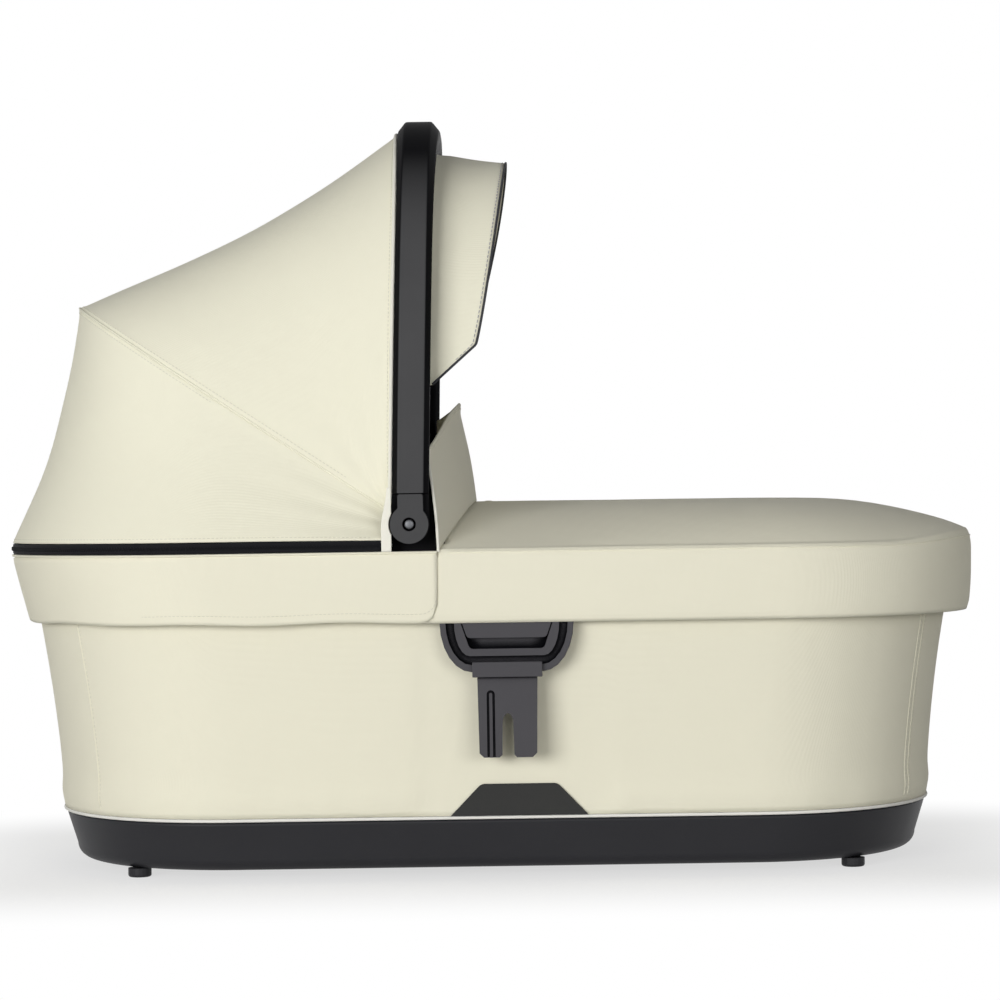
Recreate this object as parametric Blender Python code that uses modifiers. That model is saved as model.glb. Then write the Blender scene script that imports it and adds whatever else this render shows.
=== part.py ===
"""Carrycot: a fabric-covered tub on a moulded tray, with a rim frame, a zipped skirt, an apron with a wind flap,
an adapter with a release lever on each side, and a folding canopy whose front arch is the carry handle.

Metres, +Z up. +X points to the foot end, -X to the head end and -Y to the near side.
The origin lies under the middle of the tub, on the ground that the feet stand on.
"""

import math

import bmesh
import bpy
from mathutils import Matrix, Vector

# What touches, and cloth
GAP = 0.0003
FABRIC = 0.0015
HEM = 0.003

# Plan of the rim, seen from above, as the outer face of the skirt
HALF_LENGTH = 0.4266
HALF_WIDTH = 0.2275
CORNER_ALONG_SHARE = 0.84
CORNER_ACROSS_SHARE = 0.97
CORNER_EXPONENT = 2.05
CORNER_STEPS = 8
SIDE_STEPS = 4

# Feet and base tray
FOOT_HEIGHT = 0.008
FOOT_RADIUS = 0.010
FOOT_EDGE = 0.0022
FOOT_INSET_ALONG = 0.1216
FOOT_INSET_ACROSS = 0.0875
TRAY_HEIGHT = 0.042
TRAY_WALL = 0.003
TRAY_SETBACK = 0.002
TRAY_DRAFT = 0.0085
TRAY_CORNER = 0.012

# Wall of the tub: stiff shell, outer cover and inner lining
WALL_HEIGHT = 0.2085
SHELL_WALL = 0.003
WALL_SETBACK_ALONG = 0.0205
WALL_SETBACK_ACROSS = 0.0134
WALL_TAPER_ALONG = 0.0185
WALL_TAPER_ACROSS = 0.0155
WALL_FLARE = 1.6
WALL_FLANGE = 0.0105
WALL_ROW_SHARES = (0.0, 0.35, 0.7, 1.0)
WALL_CLEARANCE = 0.001
PIPING_RADIUS = 0.0013

# Rim frame
RIM_WIDTH = 0.0184
RIM_DEPTH = 0.0157
RIM_EXPONENT = 4
RIM_SECTION_STEPS = 8

# Skirt round the head half, and the zip above it
SKIRT_END_X = -0.0455
SKIRT_DEPTH = 0.059
SKIRT_TUCK = 0.014
SKIRT_FOLD = 0.0125
SKIRT_FOLD_EDGE = 0.003
SKIRT_CORNER = 0.0145
SKIRT_CORNER_STEPS = 5
ZIP_END_X = -0.0905
ZIP_HEIGHT = 0.0088
ZIP_DEPTH = 0.006

# Apron over the foot half
APRON_START_X = -0.039
APRON_LAP = 0.020
APRON_DEPTH = 0.061
APRON_EDGE_INSET = 0.006
APRON_EDGE_RISE = 0.018
APRON_CROWN = 0.033
APRON_CROWN_REACH = 0.070
APRON_EDGE_STEPS = 4
APRON_CROWN_SHARES = (0.05, 0.11, 0.2, 0.33, 0.5, 0.72, 0.95)

# Wind flap that stands on the apron
FLAP_BASE_X = -0.010
FLAP_BASE_SWEEP = 0.0315
FLAP_TOP_X = -0.0244
FLAP_TOP_SWEEP = 0.0232
FLAP_RISE = 0.0785
FLAP_NEAR_DROP = 0.029
FLAP_FAR_DROP = 0.006
FLAP_FOOT_INSET = 0.0075
FLAP_HEAD_INSET = 0.0265
FLAP_CLEARANCE = 0.0006
FLAP_STATIONS = 25
FLAP_ROWS = 5

# Mattress and the board under it
BOARD_THICKNESS = 0.002
BOARD_INSET = 0.022
MATTRESS_THICKNESS = 0.036
MATTRESS_CROWN = 0.008
MATTRESS_INSET = 0.0125
MATTRESS_DRAW_IN = 0.007

# Tab on each side, over the foot of the cover
TAB_X = 0.021
TAB_HALF_FOOT = 0.0586
TAB_HALF_HEAD = 0.0385
TAB_HEIGHT = 0.0268
TAB_THICKNESS = 0.0016
TAB_CORNER = 0.004

# Adapter on each side: frame, fork and lever
ADAPTER_X = 0.0115
ADAPTER_HALF = 0.0557
ADAPTER_DROP = 0.0836
ADAPTER_CURVE_RISE = 0.0418
COLLAR_HALF = 0.029
COLLAR_HEIGHT = 0.0126
COLLAR_DROP = 0.0041
COLLAR_THICKNESS = 0.0046
RIM_BAND = 0.0049
GROOVE_WIDTH = 0.0071
GROOVE_DEPTH = 0.004
GROOVE_RISE = 0.0059
POCKET_HALF = 0.0385
POCKET_HALF_FOOT = 0.0309
POCKET_RISE = 0.0193
POCKET_SLOPE = 0.0225
POCKET_HEAD = 0.0052
POCKET_FLOOR = 0.0032
LEVER_CLEARANCE = 0.001
LEVER_TRAVEL = 0.008
LEVER_THICKNESS = 0.0082
FINGER_GAP = 0.0089
LEVER_CORNER = 0.003
FORK_HALF = 0.025
FORK_TAPER = 0.0011
FORK_LENGTH = 0.0704
FORK_THICKNESS = 0.014
FORK_CHAMFER = 0.0037
FORK_INNER_CHAMFER = 0.0022
SLOT_HALF = 0.005
SLOT_HALF_NECK = 0.0044
SLOT_LENGTH = 0.0365
SLOT_ROUND = 0.0085
RIB_X = 0.014
RIB_LENGTH = 0.0558
RIB_CHANNEL_HALF = 0.0034
RIB_HALF = 0.0013
RIB_CHANNEL_DEPTH = 0.0014
MOULDED_EDGE = 0.0006
CURVE_STEPS = 6
TURN_STEPS = 20

# Pivot of the canopy, and the hub at each end of it
PIVOT_X = -0.0680
PIVOT_RISE = 0.0241
PIN_RADIUS = 0.0042
PIN_DOME = 0.0012
PIN_RECESS = 0.0025
PIN_WELL = 0.006
PIN_WELL_DEPTH = 0.0045
PIN_OVERHANG = 0.0073
PLATE_THICKNESS = 0.0041
PLATE_FOOT_BACK = 0.0145
PLATE_FOOT_FRONT = 0.0255
PLATE_HEAD_BACK = 0.0159
PLATE_HEAD_FRONT = 0.0195
PLATE_BACK_RISE = 0.0142
PLATE_FRONT_RISE = 0.0216
PLATE_DROP = 0.012
PLATE_CORNER = 0.004
BUTTON_RADIUS = 0.011
BUTTON_CAP = 0.002
BUTTON_DEPTH = 0.0075
BUTTON_TRAVEL = 0.003

# Carry handle
HANDLE_X = -0.0640
HANDLE_RADIUS = 0.3555
HANDLE_WIDTH = 0.033
HANDLE_THICKNESS = 0.025
HANDLE_FACE_FOOT = 0.0225
HANDLE_FACE_HEAD = 0.0215
HANDLE_LEAN = 0.005
HANDLE_SWELL_SHARE = 0.14
HANDLE_SWELL_CURVE = 4
HANDLE_FACE_RUN_SHARE = 0.25
HANDLE_BEVEL_SHARE = 0.62
HANDLE_BACK_SHARE = 0.72
HANDLE_BACK_BEVEL_SHARE = 0.3
HANDLE_STATIONS = 45
ARCH_EXPONENT = 3.0
END_HEIGHT = 0.0254
END_NECK_RISE = 0.0135
END_NECK_HALF = 0.0134
END_THICKNESS = 0.022
BOSS_RADIUS = 0.0168
BOSS_STEPS = 16
END_BEVEL = 0.0018

# Canopy
BOW_ANGLE = 33.5
BOW_RADIUS = 0.0035
BOW_DROP = 0.0068
SEAM_GAP = 0.0015
BOW_SHORTFALL = 0.0035
BOW_CLEARANCE = 0.0019
BOW_EYE_RADIUS = 0.009
BOW_EYE_THICKNESS = 0.004
BOW_STATIONS = 41
CANOPY_END_X = -0.0862
CANOPY_FOOT_RISE = 0.0215
CANOPY_FRONT_RISE = 0.0140
CANOPY_FRONT_DROP = 0.0130
CANOPY_FRONT_INSET = 0.0135
CANOPY_SAG = 0.010
CANOPY_STATIONS = 37
CANOPY_ROWS = 6
CANOPY_CLEARANCE = 0.0012

# Visor
VISOR_FOOT_RISE = 0.1167
VISOR_DIP = 0.0085
VISOR_SIDE_DIP = 0.001
VISOR_CHIN_RISE = 0.033
VISOR_CHIN_LENGTH = 0.0368
VISOR_LENGTH = 0.0638
VISOR_CURVE = 0.85
VISOR_WIRE_RADIUS = 0.0018
VISOR_STATIONS = 45
VISOR_ROWS = 4

# An overrun for cutters, past the faces that they cut
OVERRUN = 0.02
WELD = 0.00001

# Heights that follow from the sizes above
TRAY_TOP = FOOT_HEIGHT + TRAY_HEIGHT
WALL_BOTTOM = TRAY_TOP + 2 * (PIPING_RADIUS + GAP)
RIM_BOTTOM = TRAY_TOP + WALL_HEIGHT
RIM_TOP = RIM_BOTTOM + RIM_DEPTH
WALL_TOP = RIM_BOTTOM - WALL_CLEARANCE
SKIRT_TOP = RIM_TOP + GAP + FABRIC
SKIRT_BOTTOM = SKIRT_TOP - SKIRT_DEPTH
ZIP_BOTTOM = SKIRT_TOP + GAP
ZIP_TOP = ZIP_BOTTOM + ZIP_HEIGHT
CANOPY_BOTTOM = ZIP_TOP + CANOPY_CLEARANCE
APRON_BOTTOM = RIM_TOP - APRON_DEPTH
APRON_SHOULDER = RIM_TOP - HEM - FABRIC
PIVOT_Z = RIM_TOP + PIVOT_RISE

# Plans, each a half length and a half width, nested from the skirt inwards
SKIRT_PLAN = (HALF_LENGTH, HALF_WIDTH)
APRON_PLAN = (HALF_LENGTH, HALF_WIDTH - FABRIC - GAP)
RIM_PLAN = (HALF_LENGTH - 2 * (FABRIC + GAP), APRON_PLAN[1] - FABRIC - GAP)

# Distances of the hub's layers from the centre plane, from the outer face of the handle inwards
HANDLE_HALF_SPAN = HALF_WIDTH
END_INNER_Y = HANDLE_HALF_SPAN - END_THICKNESS
PLATE_OUTER_Y = END_INNER_Y - GAP
PLATE_INNER_Y = PLATE_OUTER_Y - PLATE_THICKNESS
BOW_Y = PLATE_INNER_Y - BOW_CLEARANCE - BOW_RADIUS
BOW_HALF_SPAN = BOW_Y + BOW_DROP
PIN_INNER_Y = BOW_Y - BOW_EYE_THICKNESS / 2 - PIN_OVERHANG

# Reaches of the arches above the pivot, which follow the handle's
BOW_REACH = HANDLE_RADIUS - BOW_SHORTFALL
CANOPY_FRONT_REACH = HANDLE_RADIUS - CANOPY_FRONT_DROP
VISOR_PEAK_REACH = HANDLE_RADIUS - HANDLE_THICKNESS - VISOR_DIP

CREAM = (231, 228, 209)
SHADED_CREAM = (221, 218, 199)
PIPING_WHITE = (238, 237, 230)
BLACK = (45, 44, 49)
SATIN_BLACK = (77, 79, 79)
ADAPTER_GREY = (74, 73, 78)
TAB_GREY = (56, 57, 55)
ZIP_BLACK = (31, 30, 33)
BRIGHT_STEEL = (150, 152, 155)
LINING = (205, 203, 192)
WHITE_FOAM = (236, 235, 228)
BOARD_GREY = (96, 96, 98)


def clear_scene():
    for obj in list(bpy.data.objects):
        bpy.data.objects.remove(obj)


def linear(colour):
    """A colour of 0 to 255 as the linear values that a material takes."""
    shares = (level / 255 for level in colour)
    return tuple(s / 12.92 if s < 0.04045 else ((s + 0.055) / 1.055) ** 2.4 for s in shares)


def finish(obj, colour, roughness, metallic=0.0):
    material = bpy.data.materials.new(obj.name + "_finish")
    material.use_nodes = True
    shader = material.node_tree.nodes["Principled BSDF"]
    shader.inputs["Base Color"].default_value = (*linear(colour), 1)
    shader.inputs["Roughness"].default_value = roughness
    shader.inputs["Metallic"].default_value = metallic
    obj.data.materials.clear()
    obj.data.materials.append(material)
    return obj


def cloth(obj, colour=CREAM):
    return finish(obj, colour, 0.9)


def plastic(obj, colour, roughness=0.5):
    return finish(obj, colour, roughness)


def add_object(name, data, collection="carrycot"):
    obj = bpy.data.objects.new(name, data)
    bpy.data.collections[collection].objects.link(obj)
    return obj


def smooth(obj, angle=40):
    obj.data.shade_smooth()
    obj.data.set_sharp_from_angle(angle=math.radians(angle))
    return obj


def loft(name, rows, wrap_rows=False, wrap_points=False, cap_first=False, cap_last=False):
    """A skin over rows of as many points each. It faces out where rows climb and points run anticlockwise from above."""
    mesh = bmesh.new()
    grid = [[mesh.verts.new(point) for point in row] for row in rows]
    height, width = len(grid), len(grid[0])
    for r in range(height if wrap_rows else height - 1):
        for i in range(width if wrap_points else width - 1):
            low, high = grid[r], grid[(r + 1) % height]
            mesh.faces.new((low[i], low[(i + 1) % width], high[(i + 1) % width], high[i]))
    if cap_first:
        mesh.faces.new(reversed(grid[0]))
    if cap_last:
        mesh.faces.new(grid[-1])
    data = bpy.data.meshes.new(name)
    mesh.to_mesh(data)
    mesh.free()
    return smooth(add_object(name, data))


def thicken(obj, thickness):
    """Gives an open skin its wall, inwards from the face that shows."""
    shell = obj.modifiers.new("wall", "SOLIDIFY")
    shell.thickness = thickness
    shell.offset = -1
    shell.use_even_offset = True
    return obj


def bevel(obj, width, segments=2, angle=35):
    edge = obj.modifiers.new("edge", "BEVEL")
    edge.width = width
    edge.segments = segments
    edge.limit_method = "ANGLE"
    edge.angle_limit = math.radians(angle)
    edge.use_clamp_overlap = True
    return obj


def realised(obj):
    """The same object with its modifiers applied, its curve turned into a mesh and its place moved into its points."""
    bpy.context.view_layer.update()
    graph = bpy.context.evaluated_depsgraph_get()
    data = bpy.data.meshes.new_from_object(obj.evaluated_get(graph))
    data.transform(obj.matrix_world)
    name, collection = obj.name, obj.users_collection[0].name
    bpy.data.objects.remove(obj)
    mesh = bmesh.new()
    mesh.from_mesh(data)
    bmesh.ops.remove_doubles(mesh, verts=mesh.verts, dist=WELD)
    mesh.to_mesh(data)
    mesh.free()
    data.name = name
    return add_object(name, data, collection)


def combine(obj, other, operation):
    """A Boolean of one object with another, which becomes a hidden guide."""
    guides = bpy.data.collections["guides"]
    for collection in list(other.users_collection):
        collection.objects.unlink(other)
    guides.objects.link(other)
    other.hide_render = True
    other.display_type = "WIRE"
    boolean = obj.modifiers.new(operation.lower(), "BOOLEAN")
    boolean.operation = operation
    boolean.object = other
    boolean.solver = "EXACT"
    return obj


def far_copy(obj, name):
    """The same piece on the other side of the centre plane."""
    data = obj.data.copy()
    data.transform(Matrix.Scale(-1, 4, Vector((0, 1, 0))))
    data.flip_normals()
    return add_object(name, data)


def block(name, low, high):
    """A box between two corners."""
    mesh = bmesh.new()
    size = [b - a for a, b in zip(low, high)]
    centre = [(a + b) / 2 for a, b in zip(low, high)]
    place = Matrix.Translation(centre) @ Matrix.Diagonal((*size, 1))
    bmesh.ops.create_cube(mesh, size=1, matrix=place)
    data = bpy.data.meshes.new(name)
    mesh.to_mesh(data)
    mesh.free()
    return add_object(name, data)


def upright_cylinder(name, radius, inner_y, outer_y, x, z, steps=TURN_STEPS):
    """A cylinder that lies across the tub, on the near side, between two distances from the centre plane."""
    mesh = bmesh.new()
    place = Matrix.Translation((x, -(inner_y + outer_y) / 2, z)) @ Matrix.Rotation(math.pi / 2, 4, "X")
    bmesh.ops.create_cone(
        mesh, cap_ends=True, segments=steps, radius1=radius, radius2=radius, depth=outer_y - inner_y, matrix=place
    )
    data = bpy.data.meshes.new(name)
    mesh.to_mesh(data)
    mesh.free()
    return smooth(add_object(name, data))


def plate(name, outline, inner_y, outer_y):
    """A flat outline of x and z, as a plate on the near side between two distances from the centre plane."""
    data = bpy.data.curves.new(name, "CURVE")
    data.dimensions = "2D"
    data.fill_mode = "BOTH"
    data.extrude = (outer_y - inner_y) / 2
    spline = data.splines.new("POLY")
    spline.points.add(len(outline) - 1)
    for point, (x, z) in zip(spline.points, outline):
        point.co = (x, z, 0, 1)
    spline.use_cyclic_u = True
    obj = add_object(name, data)
    obj.location.y = -(inner_y + outer_y) / 2
    obj.rotation_euler.x = math.pi / 2
    return realised(obj)


def tube(name, points, radius, closed=False):
    data = bpy.data.curves.new(name, "CURVE")
    data.dimensions = "3D"
    data.bevel_depth = radius
    data.bevel_resolution = 2
    data.use_fill_caps = not closed
    spline = data.splines.new("POLY")
    spline.points.add(len(points) - 1)
    for target, point in zip(spline.points, points):
        target.co = (*point, 1)
    spline.use_cyclic_u = closed
    obj = realised(add_object(name, data))
    return smooth(obj, 60)


def inset(plan, along, across=None):
    return plan[0] - along, plan[1] - (along if across is None else across)


def rounded(turn, exponent):
    """The cosine and sine of a superellipse, for a turn of 0 to pi."""
    power = 2 / exponent
    cosine = math.cos(turn)
    return math.copysign(abs(cosine) ** power, cosine), abs(math.sin(turn)) ** power


def plan_corner(plan):
    """The turn of a plan from its foot end to its far side."""
    length, width = plan
    along, across = CORNER_ALONG_SHARE * width, CORNER_ACROSS_SHARE * width
    turns = (rounded(math.pi / 2 * k / CORNER_STEPS, CORNER_EXPONENT) for k in range(CORNER_STEPS + 1))
    return [(length - along + along * c, width - across + across * s) for c, s in turns]


def plan_loop(plan, height):
    """A whole plan at a height, anticlockwise from the middle of the foot end."""
    corner = plan_corner(plan)
    side = [(corner[-1][0] * (1 - k / SIDE_STEPS), plan[1]) for k in range(1, SIDE_STEPS + 1)]
    quarter = [(plan[0], 0.0)] + corner + side
    upper = quarter + [(-x, y) for x, y in reversed(quarter[:-1])]
    loop = upper + [(x, -y) for x, y in reversed(upper[1:-1])]
    return [(x, y, height) for x, y in loop]


def head_path(plan, ends):
    """The head half of a plan, from the far side round to the near side. Ends lists where its first points lie."""
    corner = [(-x, y) for x, y in reversed(plan_corner(plan))]
    last = ends[-1]
    side = [(last + (corner[0][0] - last) * k / SIDE_STEPS, plan[1]) for k in range(1, SIDE_STEPS)]
    far = [(x, plan[1]) for x in ends] + side + corner
    return far + [(-plan[0], 0.0)] + [(x, -y) for x, y in reversed(far)]


def spread(points, count):
    """As many points at even steps along a line through the given points."""
    points = [Vector(p) for p in points]
    run = [0.0]
    for a, b in zip(points, points[1:]):
        run.append(run[-1] + (b - a).length)
    found, k = [], 0
    for i in range(count):
        target = run[-1] * i / (count - 1)
        while k < len(points) - 2 and run[k + 1] < target:
            k += 1
        step = (target - run[k]) / (run[k + 1] - run[k])
        found.append(points[k].lerp(points[k + 1], min(step, 1)))
    return found


def arch(half_span, reach, foot, count):
    """An arch as pairs of y and distance from the pivot, from the far foot over the top to the near foot."""
    first = math.asin((foot / reach) ** (ARCH_EXPONENT / 2))
    steps = 240
    turns = (first + (math.pi - 2 * first) * k / steps for k in range(steps + 1))
    curve = [rounded(turn, ARCH_EXPONENT) for turn in turns]
    return [tuple(p)[:2] for p in spread([(half_span * c, reach * s, 0) for c, s in curve], count)]


def at_angle(y, radius, angle):
    """A point at a distance from the pivot line, raised by an angle above the head end."""
    turn = math.radians(angle)
    return PIVOT_X - radius * math.cos(turn), y, PIVOT_Z + radius * math.sin(turn)


def wall_plan(height):
    """The plan of the cover's outer face at a height: it widens upwards and turns out to the rim above the skirt's hem."""
    rise = min(max((height - WALL_BOTTOM) / (SKIRT_BOTTOM - WALL_BOTTOM), 0), 1)
    tuck = max(height - SKIRT_BOTTOM, 0) / (RIM_BOTTOM - SKIRT_BOTTOM)
    narrowing = 1 - rise**WALL_FLARE
    along = WALL_SETBACK_ALONG + WALL_TAPER_ALONG * narrowing - WALL_FLANGE * tuck
    across = WALL_SETBACK_ACROSS + WALL_TAPER_ACROSS * narrowing
    return inset(RIM_PLAN, along, across)


def wall(name, depth, thickness, bottom, top):
    """A wall that follows the tub, its outer face set in by a depth from the cover's."""
    heights = [bottom + (SKIRT_BOTTOM - bottom) * share for share in WALL_ROW_SHARES] + [top]
    rows = [plan_loop(inset(wall_plan(h), depth), h) for h in heights]
    return thicken(loft(name, rows, wrap_points=True), thickness)


def make_tub_walls():
    shell_depth = FABRIC + GAP
    lining_depth = shell_depth + SHELL_WALL + GAP
    plastic(wall("tub_shell", shell_depth, SHELL_WALL, TRAY_TOP + GAP, WALL_TOP), BOARD_GREY)
    cloth(wall("tub_cover", 0, FABRIC, WALL_BOTTOM, WALL_TOP))
    cloth(wall("inner_lining", lining_depth, FABRIC, TRAY_TOP + GAP, WALL_TOP), LINING)
    edge = inset(wall_plan(WALL_BOTTOM), FABRIC - PIPING_RADIUS)
    piping = tube("base_piping", plan_loop(edge, TRAY_TOP + GAP + PIPING_RADIUS), PIPING_RADIUS, closed=True)
    cloth(piping, PIPING_WHITE)


def tray_plan():
    return inset(wall_plan(WALL_BOTTOM), TRAY_SETBACK)


def make_base_tray():
    rows = []
    foot_plan = inset(tray_plan(), TRAY_DRAFT)
    for k in range(CURVE_STEPS // 2 + 1):
        turn = math.pi / CURVE_STEPS * k
        depth, rise = TRAY_CORNER * (1 - math.sin(turn)), TRAY_CORNER * (1 - math.cos(turn))
        rows.append(plan_loop(inset(foot_plan, depth), FOOT_HEIGHT + rise))
    rows += [plan_loop(tray_plan(), height) for height in (TRAY_TOP - HEM, TRAY_TOP)]
    tray = thicken(loft("base_tray", rows, wrap_points=True, cap_first=True), TRAY_WALL)
    plastic(tray, BLACK, 0.45)


def make_feet():
    top = FOOT_HEIGHT - GAP
    rounding = [math.pi / 2 * k / CURVE_STEPS for k in range(CURVE_STEPS + 1)]
    edge = [(FOOT_RADIUS - FOOT_EDGE * (1 - math.cos(a)), FOOT_EDGE * (1 - math.sin(a))) for a in rounding]
    profile = [(0, top), (FOOT_RADIUS, top)] + edge + [(0, 0)]
    out_x, out_y = inset(SKIRT_PLAN, FOOT_INSET_ALONG, FOOT_INSET_ACROSS)
    corners = [(x, y) for y in (-out_y, out_y) for x in (-out_x, out_x)]
    for number, (x, y) in enumerate(corners, 1):
        mesh = bmesh.new()
        points = [mesh.verts.new((radius, 0, height)) for radius, height in profile]
        for a, b in zip(points, points[1:]):
            mesh.edges.new((a, b))
        data = bpy.data.meshes.new("foot")
        mesh.to_mesh(data)
        mesh.free()
        foot = add_object(f"foot_{number}", data)
        foot.location = (x, y, 0)
        turn = foot.modifiers.new("turn", "SCREW")
        turn.steps = turn.render_steps = TURN_STEPS
        turn.use_merge_vertices = True
        turn.merge_threshold = WELD
        plastic(foot, BLACK, 0.7)


def make_rim():
    middle = (RIM_BOTTOM + RIM_TOP) / 2
    rows = []
    for k in range(RIM_SECTION_STEPS):
        turn = 2 * math.pi * (k + 0.5) / RIM_SECTION_STEPS
        outward, upward = rounded(turn, RIM_EXPONENT)
        upward = math.copysign(upward, math.sin(turn))
        plan = inset(RIM_PLAN, RIM_WIDTH / 2 * (1 - outward))
        rows.append(plan_loop(plan, middle + RIM_DEPTH / 2 * upward))
    plastic(loft("rim_frame", rows, wrap_rows=True, wrap_points=True), BLACK)


def make_bedding():
    board_bottom = FOOT_HEIGHT + TRAY_WALL + GAP
    board_top = board_bottom + BOARD_THICKNESS
    plan = inset(tray_plan(), TRAY_DRAFT + BOARD_INSET)
    rows = [plan_loop(plan, board_bottom), plan_loop(plan, board_top)]
    board = loft("floor_board", rows, wrap_points=True, cap_first=True, cap_last=True)
    plastic(board, BOARD_GREY, 0.8)

    bottom = board_top + GAP
    body = inset(tray_plan(), MATTRESS_INSET)
    sides = [(1.6, 0.0), (1.15, 0.1), (0.6, 0.28), (0.15, 0.5), (0, 0.72), (0.25, 0.86), (1.0, 0.96), (2.2, 1.0)]
    rows = [
        plan_loop(inset(body, MATTRESS_DRAW_IN * draw), bottom + MATTRESS_THICKNESS * rise) for draw, rise in sides
    ]
    crown_start = MATTRESS_DRAW_IN * sides[-1][0]
    reach = body[1] - crown_start
    for share in (0.15, 0.35, 0.6, 0.9):
        lift = MATTRESS_CROWN * math.sin(math.pi / 2 * share)
        rows.append(plan_loop(inset(body, crown_start + reach * share), bottom + MATTRESS_THICKNESS + lift))
    mattress = loft("mattress", rows, wrap_points=True, cap_first=True, cap_last=True)
    cloth(mattress, WHITE_FOAM)


def make_skirt():
    """The band round the head half. Its lower corners are rounded, and its top folds in over the rim."""
    arc = [math.pi / 2 * k / SKIRT_CORNER_STEPS for k in range(SKIRT_CORNER_STEPS + 1)]
    ends = [SKIRT_END_X - SKIRT_CORNER * (1 - math.cos(a)) for a in arc]
    lifts = [SKIRT_CORNER * (1 - math.sin(a)) for a in arc]
    lower = ((1.0, 0.0), (0.55, 0.3), (0.1, 0.66), (0.0, 0.9))
    upper = ((0.0, 0.0), (0.3, 0.7), (1.0, 1.0))
    edge_z = SKIRT_TOP - SKIRT_FOLD_EDGE
    rows = []
    for tuck, rise in lower:
        path = head_path(inset(SKIRT_PLAN, SKIRT_TUCK * tuck, 0), ends)
        count = len(path)
        row = []
        for i, (x, y) in enumerate(path):
            lift = lifts[min(i, count - 1 - i, SKIRT_CORNER_STEPS)]
            bottom = SKIRT_BOTTOM + lift
            row.append((x, y, bottom + (edge_z - bottom) * rise))
        rows.append(row)
    for draw, rise in upper:
        path = head_path(inset(SKIRT_PLAN, SKIRT_FOLD_EDGE * draw), ends)
        rows.append([(x, y, edge_z + SKIRT_FOLD_EDGE * rise) for x, y in path])
    rows.append([(x, y, SKIRT_TOP) for x, y in head_path(inset(SKIRT_PLAN, SKIRT_FOLD), ends)])
    cloth(thicken(loft("rear_skirt", rows), FABRIC))


def make_zip():
    rows = [[(x, y, z) for x, y in head_path(SKIRT_PLAN, [ZIP_END_X])] for z in (ZIP_BOTTOM, ZIP_TOP)]
    finish(thicken(loft("zip_strip", rows), ZIP_DEPTH), ZIP_BLACK, 0.7)


def apron_height(depth):
    """The height of the apron's upper face at a distance in from its band."""
    crown_foot = APRON_SHOULDER + APRON_EDGE_RISE - APRON_CROWN * (1 - math.exp(-APRON_EDGE_INSET / APRON_CROWN_REACH))
    if depth < APRON_EDGE_INSET:
        share = 1 - depth / APRON_EDGE_INSET
        return APRON_SHOULDER + APRON_EDGE_RISE * math.sqrt(1 - share * share)
    return crown_foot + APRON_CROWN * (1 - math.exp(-depth / APRON_CROWN_REACH))


def make_apron():
    """The cover over the foot half: a band down the outside of the rim, and a crowned top."""
    rows = [plan_loop(APRON_PLAN, APRON_BOTTOM), plan_loop(APRON_PLAN, APRON_SHOULDER)]
    edge_turns = [math.pi / 2 * k / APRON_EDGE_STEPS for k in range(1, APRON_EDGE_STEPS + 1)]
    depths = [APRON_EDGE_INSET * (1 - math.cos(a)) for a in edge_turns]
    inner = APRON_PLAN[1] - APRON_EDGE_INSET
    depths += [APRON_EDGE_INSET + inner * share for share in APRON_CROWN_SHARES]
    rows += [plan_loop(inset(APRON_PLAN, d), apron_height(d)) for d in depths]
    apron = thicken(loft("apron", rows, wrap_points=True, cap_last=True), FABRIC)
    crown_top = apron_height(APRON_PLAN[1]) + OVERRUN
    head, side = HALF_LENGTH + OVERRUN, HALF_WIDTH + OVERRUN
    lap_x, lap_top = SKIRT_END_X - APRON_LAP, SKIRT_TOP - SKIRT_FOLD_EDGE - 2 * FABRIC
    combine(apron, block("apron_head_cut", (-head, -side, 0), (lap_x, side, crown_top)), "DIFFERENCE")
    combine(apron, block("apron_lap_cut", (-head, -side, lap_top), (APRON_START_X, side, crown_top)), "DIFFERENCE")
    cloth(smooth(realised(apron)))


def make_wind_flap(pivot):
    """The stand-up collar across the apron, lower at its near end than at its far end."""
    rows = []
    half_foot = APRON_PLAN[1] - FLAP_FOOT_INSET
    half_head = APRON_PLAN[1] - FLAP_HEAD_INSET
    middle_z = apron_height(APRON_PLAN[1]) + FLAP_RISE
    for r in range(FLAP_ROWS + 1):
        up = r / FLAP_ROWS
        row = []
        for k in range(FLAP_STATIONS):
            across = 1 - 2 * k / (FLAP_STATIONS - 1)
            sweep = across * across
            drop = FLAP_FAR_DROP if across > 0 else FLAP_NEAR_DROP
            foot_y = half_foot * across
            foot = Vector(
                (
                    FLAP_BASE_X - FLAP_BASE_SWEEP * sweep,
                    foot_y,
                    apron_height(APRON_PLAN[1] - abs(foot_y)) + FLAP_CLEARANCE,
                )
            )
            head = Vector((FLAP_TOP_X - FLAP_TOP_SWEEP * sweep, half_head * across, middle_z - drop * sweep))
            point = foot.lerp(head, up)
            point.x += FABRIC * math.sin(math.pi * up)
            row.append(tuple(point))
        rows.append([row[k] for k in reversed(range(FLAP_STATIONS))])
    flap = cloth(thicken(loft("wind_flap", rows), FABRIC), SHADED_CREAM)
    hang(flap, pivot)


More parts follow.
